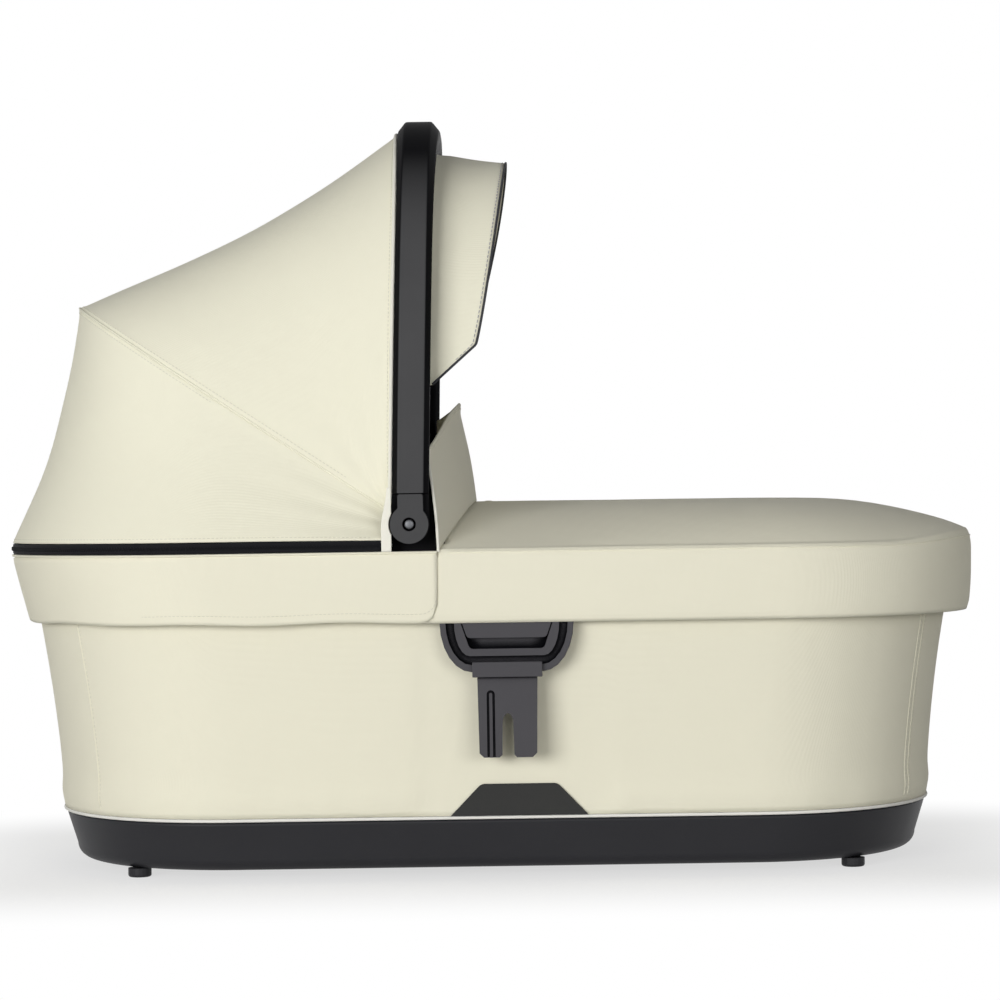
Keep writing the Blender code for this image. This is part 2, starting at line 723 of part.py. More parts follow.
def make_tabs():
    """The tab on each side, over the foot of the cover. It leans with the wall behind it."""
    run = (SKIRT_BOTTOM - WALL_BOTTOM) * WALL_ROW_SHARES[1]
    foot_y, head_y = (wall_plan(height)[1] for height in (WALL_BOTTOM, WALL_BOTTOM + run))
    lean = math.atan2(head_y - foot_y, run)
    foot_y += GAP
    outline = [(TAB_X - TAB_HALF_FOOT, 0), (TAB_X + TAB_HALF_FOOT, 0)]
    outline += soft_corner((TAB_X + TAB_HALF_HEAD, TAB_HEIGHT), outline[1], (TAB_X, TAB_HEIGHT), TAB_CORNER)
    outline += soft_corner((TAB_X - TAB_HALF_HEAD, TAB_HEIGHT), (TAB_X, TAB_HEIGHT), outline[0], TAB_CORNER)
    near = plate("side_tab_near", outline, 0, TAB_THICKNESS)
    near.data.transform(Matrix.Translation((0, -foot_y, WALL_BOTTOM)) @ Matrix.Rotation(lean, 4, "X"))
    plastic(near, TAB_GREY, 0.8)
    plastic(far_copy(near, "side_tab_far"), TAB_GREY, 0.8)


def soft_corner(corner, before, after, size):
    """The points that take the place of a sharp corner: a curve that starts and ends a size away from it."""
    corner, before, after = Vector(corner), Vector(before), Vector(after)
    start = corner + (before - corner).normalized() * size
    end = corner + (after - corner).normalized() * size
    steps = CURVE_STEPS // 2
    shares = [k / steps for k in range(steps + 1)]
    return [tuple(start.lerp(corner, s).lerp(corner.lerp(end, s), s)) for s in shares]


def adapter_heights():
    bottom = RIM_BOTTOM - ADAPTER_DROP
    return bottom, bottom + ADAPTER_CURVE_RISE, RIM_BOTTOM - GAP


def cup_outline(half, bottom, shoulder, top, foot_half):
    """A cup: upright sides down to a shoulder, then a quarter of an ellipse on each side to a flat foot."""
    turns = [math.pi / 2 * k / CURVE_STEPS for k in range(CURVE_STEPS + 1)]
    curve = [
        (foot_half + (half - foot_half) * math.cos(a), shoulder - (shoulder - bottom) * math.sin(a)) for a in turns
    ]
    right = [(ADAPTER_X + x, z) for x, z in [(half, top)] + curve]
    return right + [(2 * ADAPTER_X - x, z) for x, z in reversed(right)]


def pocket_outline(clearance, bottom, top):
    """The tapered hole in the frame that the lever moves in, or the lever itself, smaller by a clearance."""
    shoulder = adapter_heights()[1]
    floor = shoulder - POCKET_SLOPE
    slope = (POCKET_HALF - POCKET_HALF_FOOT) / POCKET_SLOPE
    foot = POCKET_HALF_FOOT + (bottom - floor) * slope - clearance
    half = POCKET_HALF - clearance
    right = [(ADAPTER_X + half, top), (ADAPTER_X + half, shoulder)]
    right += soft_corner((ADAPTER_X + foot, bottom), right[-1], (ADAPTER_X, bottom), LEVER_CORNER)
    return right + [(2 * ADAPTER_X - x, z) for x, z in reversed(right)]


def make_adapter_frame(inner_y, outer_y):
    bottom, shoulder, top = adapter_heights()
    frame = plate("adapter_frame_near", cup_outline(ADAPTER_HALF, bottom, shoulder, top, COLLAR_HALF), inner_y, outer_y)
    bevel(frame, MOULDED_EDGE)
    outer = cup_outline(ADAPTER_HALF - RIM_BAND, bottom + GROOVE_RISE, shoulder, top, COLLAR_HALF)
    inner_rise = POCKET_RISE - GROOVE_RISE
    inner = cup_outline(
        ADAPTER_HALF - RIM_BAND - GROOVE_WIDTH, bottom + inner_rise, shoulder, top, POCKET_HALF_FOOT
    )
    head = top - POCKET_HEAD
    outer = [(x, min(z, head)) for x, z in outer]
    inner = [(x, min(z, head)) for x, z in inner]
    groove = plate("adapter_groove", outer + inner[::-1], outer_y - GROOVE_DEPTH, outer_y + OVERRUN)
    pocket = pocket_outline(0, bottom + POCKET_RISE, head)
    well = plate("adapter_pocket", pocket, inner_y + POCKET_FLOOR, outer_y + OVERRUN)
    combine(frame, groove, "DIFFERENCE")
    combine(frame, well, "DIFFERENCE")
    return realised(frame)


def make_lever(inner_y, pivot_name):
    bottom, _, top = adapter_heights()
    low = bottom + POCKET_RISE + FINGER_GAP
    high = top - POCKET_HEAD - LEVER_CLEARANCE - LEVER_TRAVEL
    back = inner_y + POCKET_FLOOR + GAP
    lever = plate(pivot_name, pocket_outline(LEVER_CLEARANCE, low, high), back, back + LEVER_THICKNESS)
    return realised(bevel(lever, MOULDED_EDGE))


def fork_outline(top, bottom):
    """The fork: two chamfered prongs with a slot between them that ends in a round head."""
    tip = FORK_HALF - FORK_TAPER
    right = [(FORK_HALF, top), (tip, bottom + FORK_CHAMFER), (tip - FORK_CHAMFER, bottom)]
    right += [(SLOT_HALF + FORK_INNER_CHAMFER, bottom), (SLOT_HALF, bottom + FORK_INNER_CHAMFER)]
    crown = bottom + SLOT_LENGTH - SLOT_ROUND
    turns = [math.pi / 2 * k / CURVE_STEPS for k in range(CURVE_STEPS + 1)]
    right += [(SLOT_HALF_NECK * math.cos(a), crown + SLOT_ROUND * math.sin(a)) for a in turns]
    left = [(-x, z) for x, z in reversed(right[:-1])]
    return [(ADAPTER_X + x, z) for x, z in right + left]


def make_fork(inner_y, outer_y):
    """The fork that stands in the pushchair's socket, with the collar that laps over the frame's foot."""
    frame_bottom = adapter_heights()[0]
    top = frame_bottom - GAP
    bottom = top - FORK_LENGTH
    front = outer_y + GAP + COLLAR_THICKNESS / 2
    fork = plate("adapter_fork_near", fork_outline(top, bottom), front - FORK_THICKNESS, front)
    x = ADAPTER_X - RIB_X
    turns = [math.pi * k / CURVE_STEPS for k in range(CURVE_STEPS + 1)]
    foot = bottom - OVERRUN
    outer_head, inner_head = bottom + RIB_LENGTH - RIB_CHANNEL_HALF, bottom + RIB_LENGTH - RIB_CHANNEL_HALF
    outer = [(x + RIB_CHANNEL_HALF * math.cos(a), outer_head + RIB_CHANNEL_HALF * math.sin(a)) for a in turns]
    inner = [(x + RIB_HALF * math.cos(a), inner_head + RIB_HALF * math.sin(a)) for a in turns]
    outline = [(x + RIB_CHANNEL_HALF, foot)] + outer + [(x - RIB_CHANNEL_HALF, foot)]
    outline += [(x - RIB_HALF, foot)] + inner[::-1] + [(x + RIB_HALF, foot)]
    combine(fork, plate("rib_channel", outline, front - RIB_CHANNEL_DEPTH, front + OVERRUN), "DIFFERENCE")

    collar_bottom = frame_bottom - COLLAR_DROP
    collar_low = (ADAPTER_X - COLLAR_HALF, -(outer_y + GAP + COLLAR_THICKNESS), collar_bottom)
    collar_high = (ADAPTER_X + COLLAR_HALF, -(outer_y + GAP), collar_bottom + COLLAR_HEIGHT)
    collar = realised(bevel(block("adapter_collar", collar_low, collar_high), MOULDED_EDGE))
    combine(fork, collar, "UNION")
    return realised(fork)


def make_adapters():
    inner_y = wall_plan(SKIRT_BOTTOM)[1] + GAP
    outer_y = APRON_PLAN[1] - FABRIC - GAP
    frame = smooth(make_adapter_frame(inner_y, outer_y))
    fork = smooth(make_fork(inner_y, outer_y))
    lever = smooth(make_lever(inner_y, "release_lever_near"))
    for piece in (frame, fork, lever):
        plastic(piece, ADAPTER_GREY)
        copy = plastic(far_copy(piece, piece.name.replace("near", "far")), ADAPTER_GREY)
        if piece is lever:
            height = adapter_heights()[1]
            hang(piece, guide_point("release_near_guide", (ADAPTER_X, -inner_y, height)))
            hang(copy, guide_point("release_far_guide", (ADAPTER_X, inner_y, height)))


def guide_point(name, place):
    """An empty on a joint's axis, which carries the pieces that move there."""
    point = bpy.data.objects.new(name, None)
    point.location = place
    bpy.data.collections["guides"].objects.link(point)
    return point


def hang(obj, pivot):
    """Parents a piece to a point without moving it."""
    obj.parent = pivot
    obj.matrix_parent_inverse = Matrix.Translation(pivot.location).inverted()
    return obj


def bore(obj, radius, inner_y, outer_y, name):
    hole = upright_cylinder(name, radius, inner_y, outer_y, PIVOT_X, PIVOT_Z)
    return combine(obj, hole, "DIFFERENCE")


def make_hub_plates():
    """The black plate inside each end of the handle, which stands up from the rim and holds the pin."""
    low = RIM_TOP - PLATE_DROP
    outline = [(PIVOT_X - PLATE_FOOT_BACK, low), (PIVOT_X + PLATE_FOOT_FRONT, low)]
    front = PIVOT_X + PLATE_HEAD_FRONT, PIVOT_Z + PLATE_FRONT_RISE
    back = PIVOT_X - PLATE_HEAD_BACK, PIVOT_Z + PLATE_BACK_RISE
    outline += soft_corner(front, outline[1], back, PLATE_CORNER)
    outline += soft_corner(back, front, outline[0], PLATE_CORNER)
    near = plate("hub_plate_near", outline, PLATE_INNER_Y, PLATE_OUTER_Y)
    bore(near, PIN_RADIUS + GAP, PLATE_INNER_Y - OVERRUN, PLATE_OUTER_Y + OVERRUN, "plate_bore")
    near = smooth(realised(near))
    plastic(near, BLACK)
    plastic(far_copy(near, "hub_plate_far"), BLACK)


def turned(name, profile):
    """A turned piece on the pivot line of the near side. The profile lists radius and distance from the centre plane."""
    mesh = bmesh.new()
    points = [mesh.verts.new((radius, 0, distance)) for radius, distance in profile]
    for a, b in zip(points, points[1:]):
        mesh.edges.new((a, b))
    data = bpy.data.meshes.new(name)
    mesh.to_mesh(data)
    mesh.free()
    obj = add_object(name, data)
    turn = obj.modifiers.new("turn", "SCREW")
    turn.steps = turn.render_steps = TURN_STEPS
    turn.use_merge_vertices = True
    turn.merge_threshold = WELD
    obj.rotation_euler.x = math.pi / 2
    obj.location = (PIVOT_X, 0, PIVOT_Z)
    return smooth(realised(obj))


def make_pins_and_buttons():
    head_y = HANDLE_HALF_SPAN - PIN_RECESS
    turns = [math.pi / 2 * k / CURVE_STEPS for k in range(CURVE_STEPS + 1)]
    dome = [(PIN_RADIUS * math.sin(a), head_y - PIN_DOME * (1 - math.cos(a))) for a in turns]
    pin = turned("pivot_pin_near", dome + [(PIN_RADIUS, PIN_INNER_Y), (0, PIN_INNER_Y)])
    finish(pin, BRIGHT_STEEL, 0.3, 1.0)
    finish(far_copy(pin, "pivot_pin_far"), BRIGHT_STEEL, 0.3, 1.0)

    top = PIN_INNER_Y + BUTTON_DEPTH - BUTTON_CAP - BUTTON_TRAVEL - GAP
    bottom = top - BUTTON_DEPTH
    cup = PIN_RADIUS + GAP
    edge = 2 * MOULDED_EDGE
    profile = [(cup, bottom + BUTTON_CAP), (cup, top), (BUTTON_RADIUS, top)]
    profile += [(BUTTON_RADIUS - edge * (1 - math.cos(a)), bottom + edge * (1 - math.sin(a))) for a in turns]
    profile = [(0, bottom + BUTTON_CAP)] + profile + [(0, bottom)]
    near = plastic(turned("lock_button_near", profile), BLACK)
    far = plastic(far_copy(near, "lock_button_far"), BLACK)
    for piece, side in ((near, -1), (far, 1)):
        hang(piece, guide_point(piece.name + "_guide", (PIVOT_X, side * bottom, PIVOT_Z)))


def handle_section(face_half):
    """The bar's section as pairs of x and distance out from its middle line: a flat face, wide bevels and a flat back."""
    half, deep = HANDLE_WIDTH / 2, HANDLE_THICKNESS / 2
    shoulder = deep - HANDLE_THICKNESS * (1 - HANDLE_BEVEL_SHARE)
    back = -deep + HANDLE_THICKNESS * HANDLE_BACK_BEVEL_SHARE
    right = [(face_half, deep), (half, shoulder), (half, back), (half * HANDLE_BACK_SHARE, -deep)]
    return [(-x, out) for x, out in right] + right[::-1]


def handle_climb(rise):
    """How far up the handle's arch a height above the pivot is: 0 at its feet and 1 at its crest."""
    foot = END_HEIGHT + GAP
    return min(max(rise - foot, 0) / (HANDLE_RADIUS - HANDLE_THICKNESS / 2 - foot), 1)


def make_handle(pivot):
    """The carry handle: an arch that leans forward a little and widens to its crest."""
    foot = END_HEIGHT + GAP
    deep = HANDLE_THICKNESS / 2
    middle = [Vector(p) for p in arch(HANDLE_HALF_SPAN - deep, HANDLE_RADIUS - deep, foot, HANDLE_STATIONS)]
    middle[0].y = middle[-1].y = foot
    rows = []
    for k, point in enumerate(middle):
        before, after = middle[max(k - 1, 0)], middle[min(k + 1, len(middle) - 1)]
        along = (after - before).normalized()
        if k in (0, len(middle) - 1):
            along = Vector((0, 1 if k == 0 else -1))
        out = Vector((along.y, -along.x))
        share = min(k, len(middle) - 1 - k) / (len(middle) - 1) / HANDLE_FACE_RUN_SHARE
        face = HANDLE_FACE_FOOT + (HANDLE_FACE_HEAD - HANDLE_FACE_FOOT) * min(share, 1)
        climb = handle_climb(point.y)
        middle_x, swell = HANDLE_X + HANDLE_LEAN * climb, 1 + HANDLE_SWELL_SHARE * climb**HANDLE_SWELL_CURVE
        section = [(middle_x + x * swell, d) for x, d in handle_section(face / 2)]
        rows.append([(x, point.x + out.x * d, PIVOT_Z + point.y + out.y * d) for x, d in section])
    bar = loft("handle_bar", rows, wrap_points=True, cap_first=True, cap_last=True)
    hang(plastic(smooth(bar, 25), SATIN_BLACK, 0.45), pivot)

    turns = [math.radians(a) for a in (-30 + 240 * k / BOSS_STEPS for k in range(BOSS_STEPS + 1))]
    boss = [(PIVOT_X + BOSS_RADIUS * math.cos(a), PIVOT_Z - BOSS_RADIUS * math.sin(a)) for a in turns]
    top, neck = PIVOT_Z + END_HEIGHT, PIVOT_Z + END_NECK_RISE
    half = HANDLE_WIDTH / 2
    outline = boss + [(HANDLE_X - END_NECK_HALF - END_BEVEL, neck), (HANDLE_X - half, top)]
    outline += [(HANDLE_X + half, top), (HANDLE_X + END_NECK_HALF, neck)]
    near = plate("handle_end_near", outline, END_INNER_Y, HANDLE_HALF_SPAN)
    bevel(near, END_BEVEL, angle=60)
    bore(near, PIN_RADIUS + GAP, END_INNER_Y - OVERRUN, HANDLE_HALF_SPAN + OVERRUN, "end_bore")
    well_y = HANDLE_HALF_SPAN - PIN_WELL_DEPTH
    bore(near, PIN_WELL, well_y, HANDLE_HALF_SPAN + OVERRUN, "end_well")
    near = smooth(realised(near))
    hang(plastic(near, SATIN_BLACK, 0.45), pivot)
    hang(plastic(far_copy(near, "handle_end_far"), SATIN_BLACK, 0.45), pivot)


def make_bow(pivot):
    """The thin inner hoop that the canopy's seam lies on, with a flat eye on each pin."""
    line = arch(BOW_Y, BOW_REACH - BOW_DROP, BOW_EYE_RADIUS * 0.6, BOW_STATIONS)
    bow = tube("bow", [at_angle(y, r, BOW_ANGLE) for y, r in line], BOW_RADIUS)
    thickness = BOW_EYE_THICKNESS / 2
    for side in ("near", "far"):
        eye = upright_cylinder("bow_eye_" + side, BOW_EYE_RADIUS, BOW_Y - thickness, BOW_Y + thickness, PIVOT_X, PIVOT_Z)
        hole_ends = BOW_Y - OVERRUN / 2, BOW_Y + OVERRUN / 2
        hole = upright_cylinder("bow_bore_" + side, PIN_RADIUS + GAP, *hole_ends, PIVOT_X, PIVOT_Z)
        if side == "far":
            eye, hole = mirrored(eye), mirrored(hole)
        combine(bow, eye, "UNION")
        combine(bow, hole, "DIFFERENCE")
    hang(finish(smooth(realised(bow)), BLACK, 0.5), pivot)


def mirrored(obj):
    obj.data.transform(Matrix.Scale(-1, 4, Vector((0, 1, 0))))
    obj.data.flip_normals()
    return obj


def stretched(first, last, lean, wave):
    """Rows of points between two lines, as cloth that is held along both and drawn in between them."""
    rows = []
    count = len(first)
    for r in range(CANOPY_ROWS + 1):
        share = r / CANOPY_ROWS
        row = []
        for k, (a, b) in enumerate(zip(first, last)):
            point = Vector(a).lerp(Vector(b), share)
            pull = Vector((PIVOT_X - point.x, -point.y * lean, PIVOT_Z - point.z)).normalized()
            ease = math.sin(math.pi * k / (count - 1)) ** wave
            point += pull * CANOPY_SAG * 4 * share * (1 - share) * ease
            row.append(tuple(point))
        rows.append(row)
    return rows


def make_canopy(bow_pivot, handle_pivot):
    """Two sheets that meet along the inner bow: one down to the zip, and one forward to the handle."""
    base = [(x, y, CANOPY_BOTTOM) for x, y in head_path(SKIRT_PLAN, [CANOPY_END_X])]
    base = [tuple(p) for p in spread(base, CANOPY_STATIONS)]
    seam = arch(BOW_HALF_SPAN, BOW_REACH, CANOPY_FOOT_RISE, CANOPY_STATIONS)
    below = [at_angle(y, r, BOW_ANGLE - math.degrees(SEAM_GAP / 2 / r)) for y, r in seam]
    above = [at_angle(y, r, BOW_ANGLE + math.degrees(SEAM_GAP / 2 / r)) for y, r in seam]
    front_x = HANDLE_X - HANDLE_WIDTH / 2 - CANOPY_CLEARANCE
    front_half = HANDLE_HALF_SPAN - CANOPY_FRONT_INSET
    edge = arch(front_half, CANOPY_FRONT_REACH, CANOPY_FRONT_RISE, CANOPY_STATIONS)
    front = [(front_x, y, PIVOT_Z + r) for y, r in edge]
    rear = loft("canopy_rear", stretched(base, below, 0.3, 0.5))
    hang(cloth(thicken(rear, FABRIC)), bow_pivot)
    forward = loft("canopy_front", stretched(above, front, 0.3, 0.5))
    hang(cloth(thicken(forward, FABRIC)), handle_pivot)


def visor_reach(rise):
    """How far the visor's edge stands forward of the handle, at a height above the visor's foot."""
    if rise < VISOR_CHIN_RISE:
        return VISOR_CHIN_LENGTH * max(rise, 0) / VISOR_CHIN_RISE
    share = (rise - VISOR_CHIN_RISE) / (VISOR_PEAK_REACH - VISOR_FOOT_RISE - VISOR_CHIN_RISE)
    return VISOR_CHIN_LENGTH + (VISOR_LENGTH - VISOR_CHIN_LENGTH) * min(share, 1) ** VISOR_CURVE


def visor_foot():
    """Where each end of the wire meets the handle's front face, as x and distance from the centre plane."""
    middle_x = HANDLE_X + HANDLE_LEAN * handle_climb(VISOR_FOOT_RISE)
    return middle_x + HANDLE_WIDTH / 2 + VISOR_WIRE_RADIUS, HANDLE_HALF_SPAN - HANDLE_THICKNESS / 2


def make_visor(handle_pivot, visor_pivot):
    """The peak in front of the handle: cloth from under the handle out to a wire along its edge."""
    tuck = HANDLE_THICKNESS + GAP
    root = arch(HANDLE_HALF_SPAN - tuck, HANDLE_RADIUS - tuck, VISOR_FOOT_RISE, VISOR_STATIONS)
    peak = arch(HANDLE_HALF_SPAN - HANDLE_THICKNESS - VISOR_SIDE_DIP, VISOR_PEAK_REACH, VISOR_FOOT_RISE, VISOR_STATIONS)
    foot_x, foot_y = visor_foot()
    front_x = HANDLE_X + HANDLE_WIDTH / 2
    wire_room = Vector((VISOR_WIRE_RADIUS + 2 * GAP, 0, 0))
    edge = [Vector((front_x + visor_reach(r - VISOR_FOOT_RISE), y, PIVOT_Z + r)) for y, r in peak[2:-2]]
    start = [Vector((HANDLE_X, y, PIVOT_Z + r)) for y, r in root[2:-2]]
    rows = []
    for r in range(VISOR_ROWS + 1):
        share = r / VISOR_ROWS
        rows.append([tuple(a.lerp(b - wire_room, share)) for a, b in zip(start, edge)])
    hang(cloth(thicken(loft("visor", rows), FABRIC)), handle_pivot)
    ends = [Vector((foot_x, y, PIVOT_Z + VISOR_FOOT_RISE)) for y in (foot_y, -foot_y)]
    wire = tube("visor_wire", ends[:1] + edge + ends[1:], VISOR_WIRE_RADIUS)
    hang(finish(wire, ZIP_BLACK, 0.6), visor_pivot)


def main():
    clear_scene()
    for name in ("carrycot", "guides"):
        bpy.context.scene.collection.children.link(bpy.data.collections.new(name))
    bow_pivot = guide_point("bow_pivot", (PIVOT_X, 0, PIVOT_Z))
    handle_pivot = guide_point("handle_pivot", (PIVOT_X, 0, PIVOT_Z))
    visor_pivot = guide_point("visor_pivot", (visor_foot()[0], 0, PIVOT_Z + VISOR_FOOT_RISE))
    flap_pivot = guide_point("flap_pivot", (FLAP_BASE_X, 0, apron_height(APRON_PLAN[1])))
    make_feet()
    make_base_tray()
    make_tub_walls()
    make_rim()
    make_bedding()
    make_tabs()
    make_adapters()
    make_skirt()
    make_zip()
    make_apron()
    make_wind_flap(flap_pivot)
    make_hub_plates()
    make_pins_and_buttons()
    make_handle(handle_pivot)
    make_bow(bow_pivot)
    make_canopy(bow_pivot, handle_pivot)
    make_visor(handle_pivot, visor_pivot)


main()
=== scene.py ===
"""Looks of the carrycot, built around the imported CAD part.

Metres, +Z up, +X to the foot end, -Y the near side.
"""

from contextlib import contextmanager
from math import acos, asin, copysign, cos, degrees, exp, log, pi, radians, sin, sqrt

import bmesh
import bpy
from mathutils import Matrix, Vector, noise


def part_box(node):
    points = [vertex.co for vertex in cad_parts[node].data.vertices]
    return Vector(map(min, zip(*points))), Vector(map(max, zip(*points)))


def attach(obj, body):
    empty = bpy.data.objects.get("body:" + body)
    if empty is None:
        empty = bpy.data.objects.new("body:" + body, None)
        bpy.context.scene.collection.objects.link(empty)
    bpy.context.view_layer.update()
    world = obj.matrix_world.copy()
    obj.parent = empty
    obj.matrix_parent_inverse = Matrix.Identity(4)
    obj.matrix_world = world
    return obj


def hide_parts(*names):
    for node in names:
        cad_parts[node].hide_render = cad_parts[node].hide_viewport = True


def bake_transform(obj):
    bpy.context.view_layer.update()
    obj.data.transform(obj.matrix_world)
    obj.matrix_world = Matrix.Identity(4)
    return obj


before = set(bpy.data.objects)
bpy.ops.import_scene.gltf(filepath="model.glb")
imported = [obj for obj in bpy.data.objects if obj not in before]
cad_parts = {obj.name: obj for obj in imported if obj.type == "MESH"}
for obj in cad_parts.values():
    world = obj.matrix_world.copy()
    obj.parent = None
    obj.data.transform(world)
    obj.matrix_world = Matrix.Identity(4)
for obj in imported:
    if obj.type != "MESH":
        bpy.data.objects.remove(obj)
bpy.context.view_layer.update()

# Places taken over from the CAD part
HALF_LENGTH, HALF_WIDTH = 0.4266, 0.2275
PIVOT_X, PIVOT_Z = -0.0680, 0.2983
BOW_ANGLE = 33.5
HANDLE_FOOT = 0.0257
APRON_HALF_WIDTH = 0.2257
APRON_SHOULDER, APRON_HEM = 0.2697, 0.2158
SKIRT_TOP, SKIRT_BOTTOM, SKIRT_END = 0.2760, 0.2170, -0.0455
ZIP_BOTTOM, ZIP_TOP = 0.2763, 0.2851
TRAY_TOP = 0.050
WALL_BOTTOM, WALL_TOP, RIM_BOTTOM = 0.0532, 0.2575, 0.2585
WALL_HALF_LENGTH, WALL_HALF_WIDTH = 0.4025, 0.2105
SIDES = ((-1, "near"), (1, "far"))

CLOTH = 0.0012  # thickness of the outer fabric
EDGE_RADIUS = 0.006  # rounding of the apron's edge


# ---- camera, light and floor


def link(obj):
    bpy.context.scene.collection.objects.link(obj)
    return obj


def mesh_object(name, mesh):
    """A smooth-shaded object from mesh code, which is freed."""
    data = bpy.data.meshes.new(name)
    mesh.to_mesh(data)
    mesh.free()
    data.shade_smooth()
    return link(bpy.data.objects.new(name, data))


class Nodes:
    """Empties a node tree, then adds nodes to it and links them as they are made."""

    def __init__(self, tree):
        self.tree = tree
        tree.nodes.clear()

    def add(self, kind, links=None, **settings):
        node = self.tree.nodes.new("ShaderNode" + kind)
        for key, value in settings.items():
            setattr(node, key, value)
        for key, value in (links or {}).items():
            if isinstance(value, bpy.types.NodeSocket):
                self.tree.links.new(value, node.inputs[key])
            else:
                node.inputs[key].default_value = value
        return node

    def math(self, operation, a, b=0.0, c=0.0):
        return self.add("Math", {0: a, 1: b, 2: c}, operation=operation).outputs[0]

    def parts(self, vector):
        return self.add("SeparateXYZ", {0: vector}).outputs

    def ramp(self, value, low, high, start, end, kind="LINEAR"):
        """A value carried from the range low to high over to the range start to end."""
        links = {"Value": value, "From Min": low, "From Max": high, "To Min": start, "To Max": end}
        return self.add("MapRange", links, interpolation_type=kind).outputs[0]

    def noise(self, place, scale, detail, roughness=0.5):
        links = {"Vector": place, "Scale": scale, "Detail": detail, "Roughness": roughness}
        return self.add("TexNoise", links).outputs["Fac"]

    def colours(self, share, a, b):
        return self.add("Mix", {"Factor": share, "A": a, "B": b}, data_type="RGBA").outputs["Result"]

    def bump(self, strength, distance, height, **normal):
        links = {"Strength": strength, "Distance": distance, "Height": height, **normal}
        return self.add("Bump", links).outputs[0]

    def surface(self, sockets):
        shader = self.add("BsdfPrincipled", sockets)
        self.add("OutputMaterial", {"Surface": shader.outputs[0]})

    def seen(self):
        """1 to the camera and in reflections, and 0 to the light that falls on the object."""
        path = self.add("LightPath")
        return path, self.math("MAXIMUM", path.outputs["Is Camera Ray"], path.outputs["Is Glossy Ray"])


def new_material(name):
    material = bpy.data.materials.new(name)
    material.use_nodes = True
    return material, Nodes(material.node_tree)


def make_camera(place, lens, roll):
    data = bpy.data.cameras.new("camera")
    data.lens = lens
    data.clip_end = 100
    camera = link(bpy.data.objects.new("camera", data))
    level = Matrix.Rotation(pi / 2, 4, "X")
    camera.matrix_world = Matrix.Translation(place) @ level @ Matrix.Rotation(radians(roll), 4, "Z")
    bpy.context.scene.camera = camera


def make_lamp(name, place, target, size, power):
    data = bpy.data.lights.new(name, "AREA")
    data.shape = "RECTANGLE"
    data.size, data.size_y = size
    data.energy = power
    lamp = link(bpy.data.objects.new(name, data))
    aim = (Vector(target) - Vector(place)).to_track_quat("-Z", "Y")
    lamp.matrix_world = Matrix.Translation(place) @ aim.to_matrix().to_4x4()
    lamp.visible_camera = False


def make_world():
    """White where it is seen. Its light on the object is soft, and weaker from above and below."""
    world = bpy.data.worlds.new("studio")
    bpy.context.scene.world = world
    world.use_nodes = True
    n = Nodes(world.node_tree)
    path, seen = n.seen()
    seen = n.math("MAXIMUM", seen, path.outputs["Is Transmission Ray"])
    height = n.parts(n.add("TexCoord").outputs["Generated"])[2]
    light = n.ramp(n.math("ABSOLUTE", height), 0.1, 0.9, 0.34, 0.09)
    strength = n.add("Mix", {"Factor": seen, "A": light, "B": 1.0}).outputs["Result"]
    background = n.add("Background", {"Color": (1, 1, 1, 1), "Strength": strength})
    n.add("OutputWorld", {"Surface": background.outputs[0]})


def make_floor():
    """Seen as white, with the object's shadow near it. It throws light back as a grey floor would."""
    mesh = bmesh.new()
    bmesh.ops.create_circle(mesh, cap_ends=True, segments=96, radius=30)
    floor = mesh_object("floor", mesh)
    material, n = new_material("pale_floor")
    place = n.parts(n.add("NewGeometry").outputs["Position"])
    beyond = []
    for part, reach in ((place[0], 0.36), (place[1], 0.17)):
        past = n.math("MAXIMUM", n.math("SUBTRACT", n.math("ABSOLUTE", part), reach), 0.0)
        beyond.append(n.math("MULTIPLY", past, past))
    far = n.math("SQRT", n.math("ADD", *beyond))
    shadow_share = n.ramp(far, 0.0, 0.30, 0.36, 0.0, "SMOOTHSTEP")
    diffuse = n.add("BsdfDiffuse", {"Color": (0.93, 0.93, 0.92, 1)})
    white = n.add("Emission", {"Color": (1, 1, 1, 1), "Strength": 1.0})
    mixed = n.add("MixShader", {0: shadow_share, 1: white.outputs[0], 2: diffuse.outputs[0]})
    unseen = n.add("BsdfDiffuse", {"Color": (0.70, 0.70, 0.69, 1)})
    shown = n.add("MixShader", {0: n.seen()[1], 1: unseen.outputs[0], 2: mixed.outputs[0]})
    n.add("OutputMaterial", {"Surface": shown.outputs[0]})
    floor.data.materials.append(material)


def make_studio():
    make_camera(place=(0.0076, -2.85, 0.3174), lens=114.07, roll=-0.85)
    make_world()
    make_lamp("key", place=(-2.1, -3.8, 0.78), target=(0, 0, 0.32), size=(2.4, 1.4), power=110)
    make_lamp("fill", place=(1.7, -4.1, 0.8), target=(0, 0, 0.3), size=(2.0, 1.2), power=38)
    make_lamp("back", place=(-0.6, 3.4, 0.6), target=(0, 0, 0.35), size=(2.6, 1.2), power=26)
    make_floor()
    bpy.context.scene.view_settings.view_transform = "Standard"


# ---- materials


def toned(colour, share):
    """The colour, lighter or darker by a share of itself."""
    return (*[min(c * (1 + share), 1) for c in colour], 1)


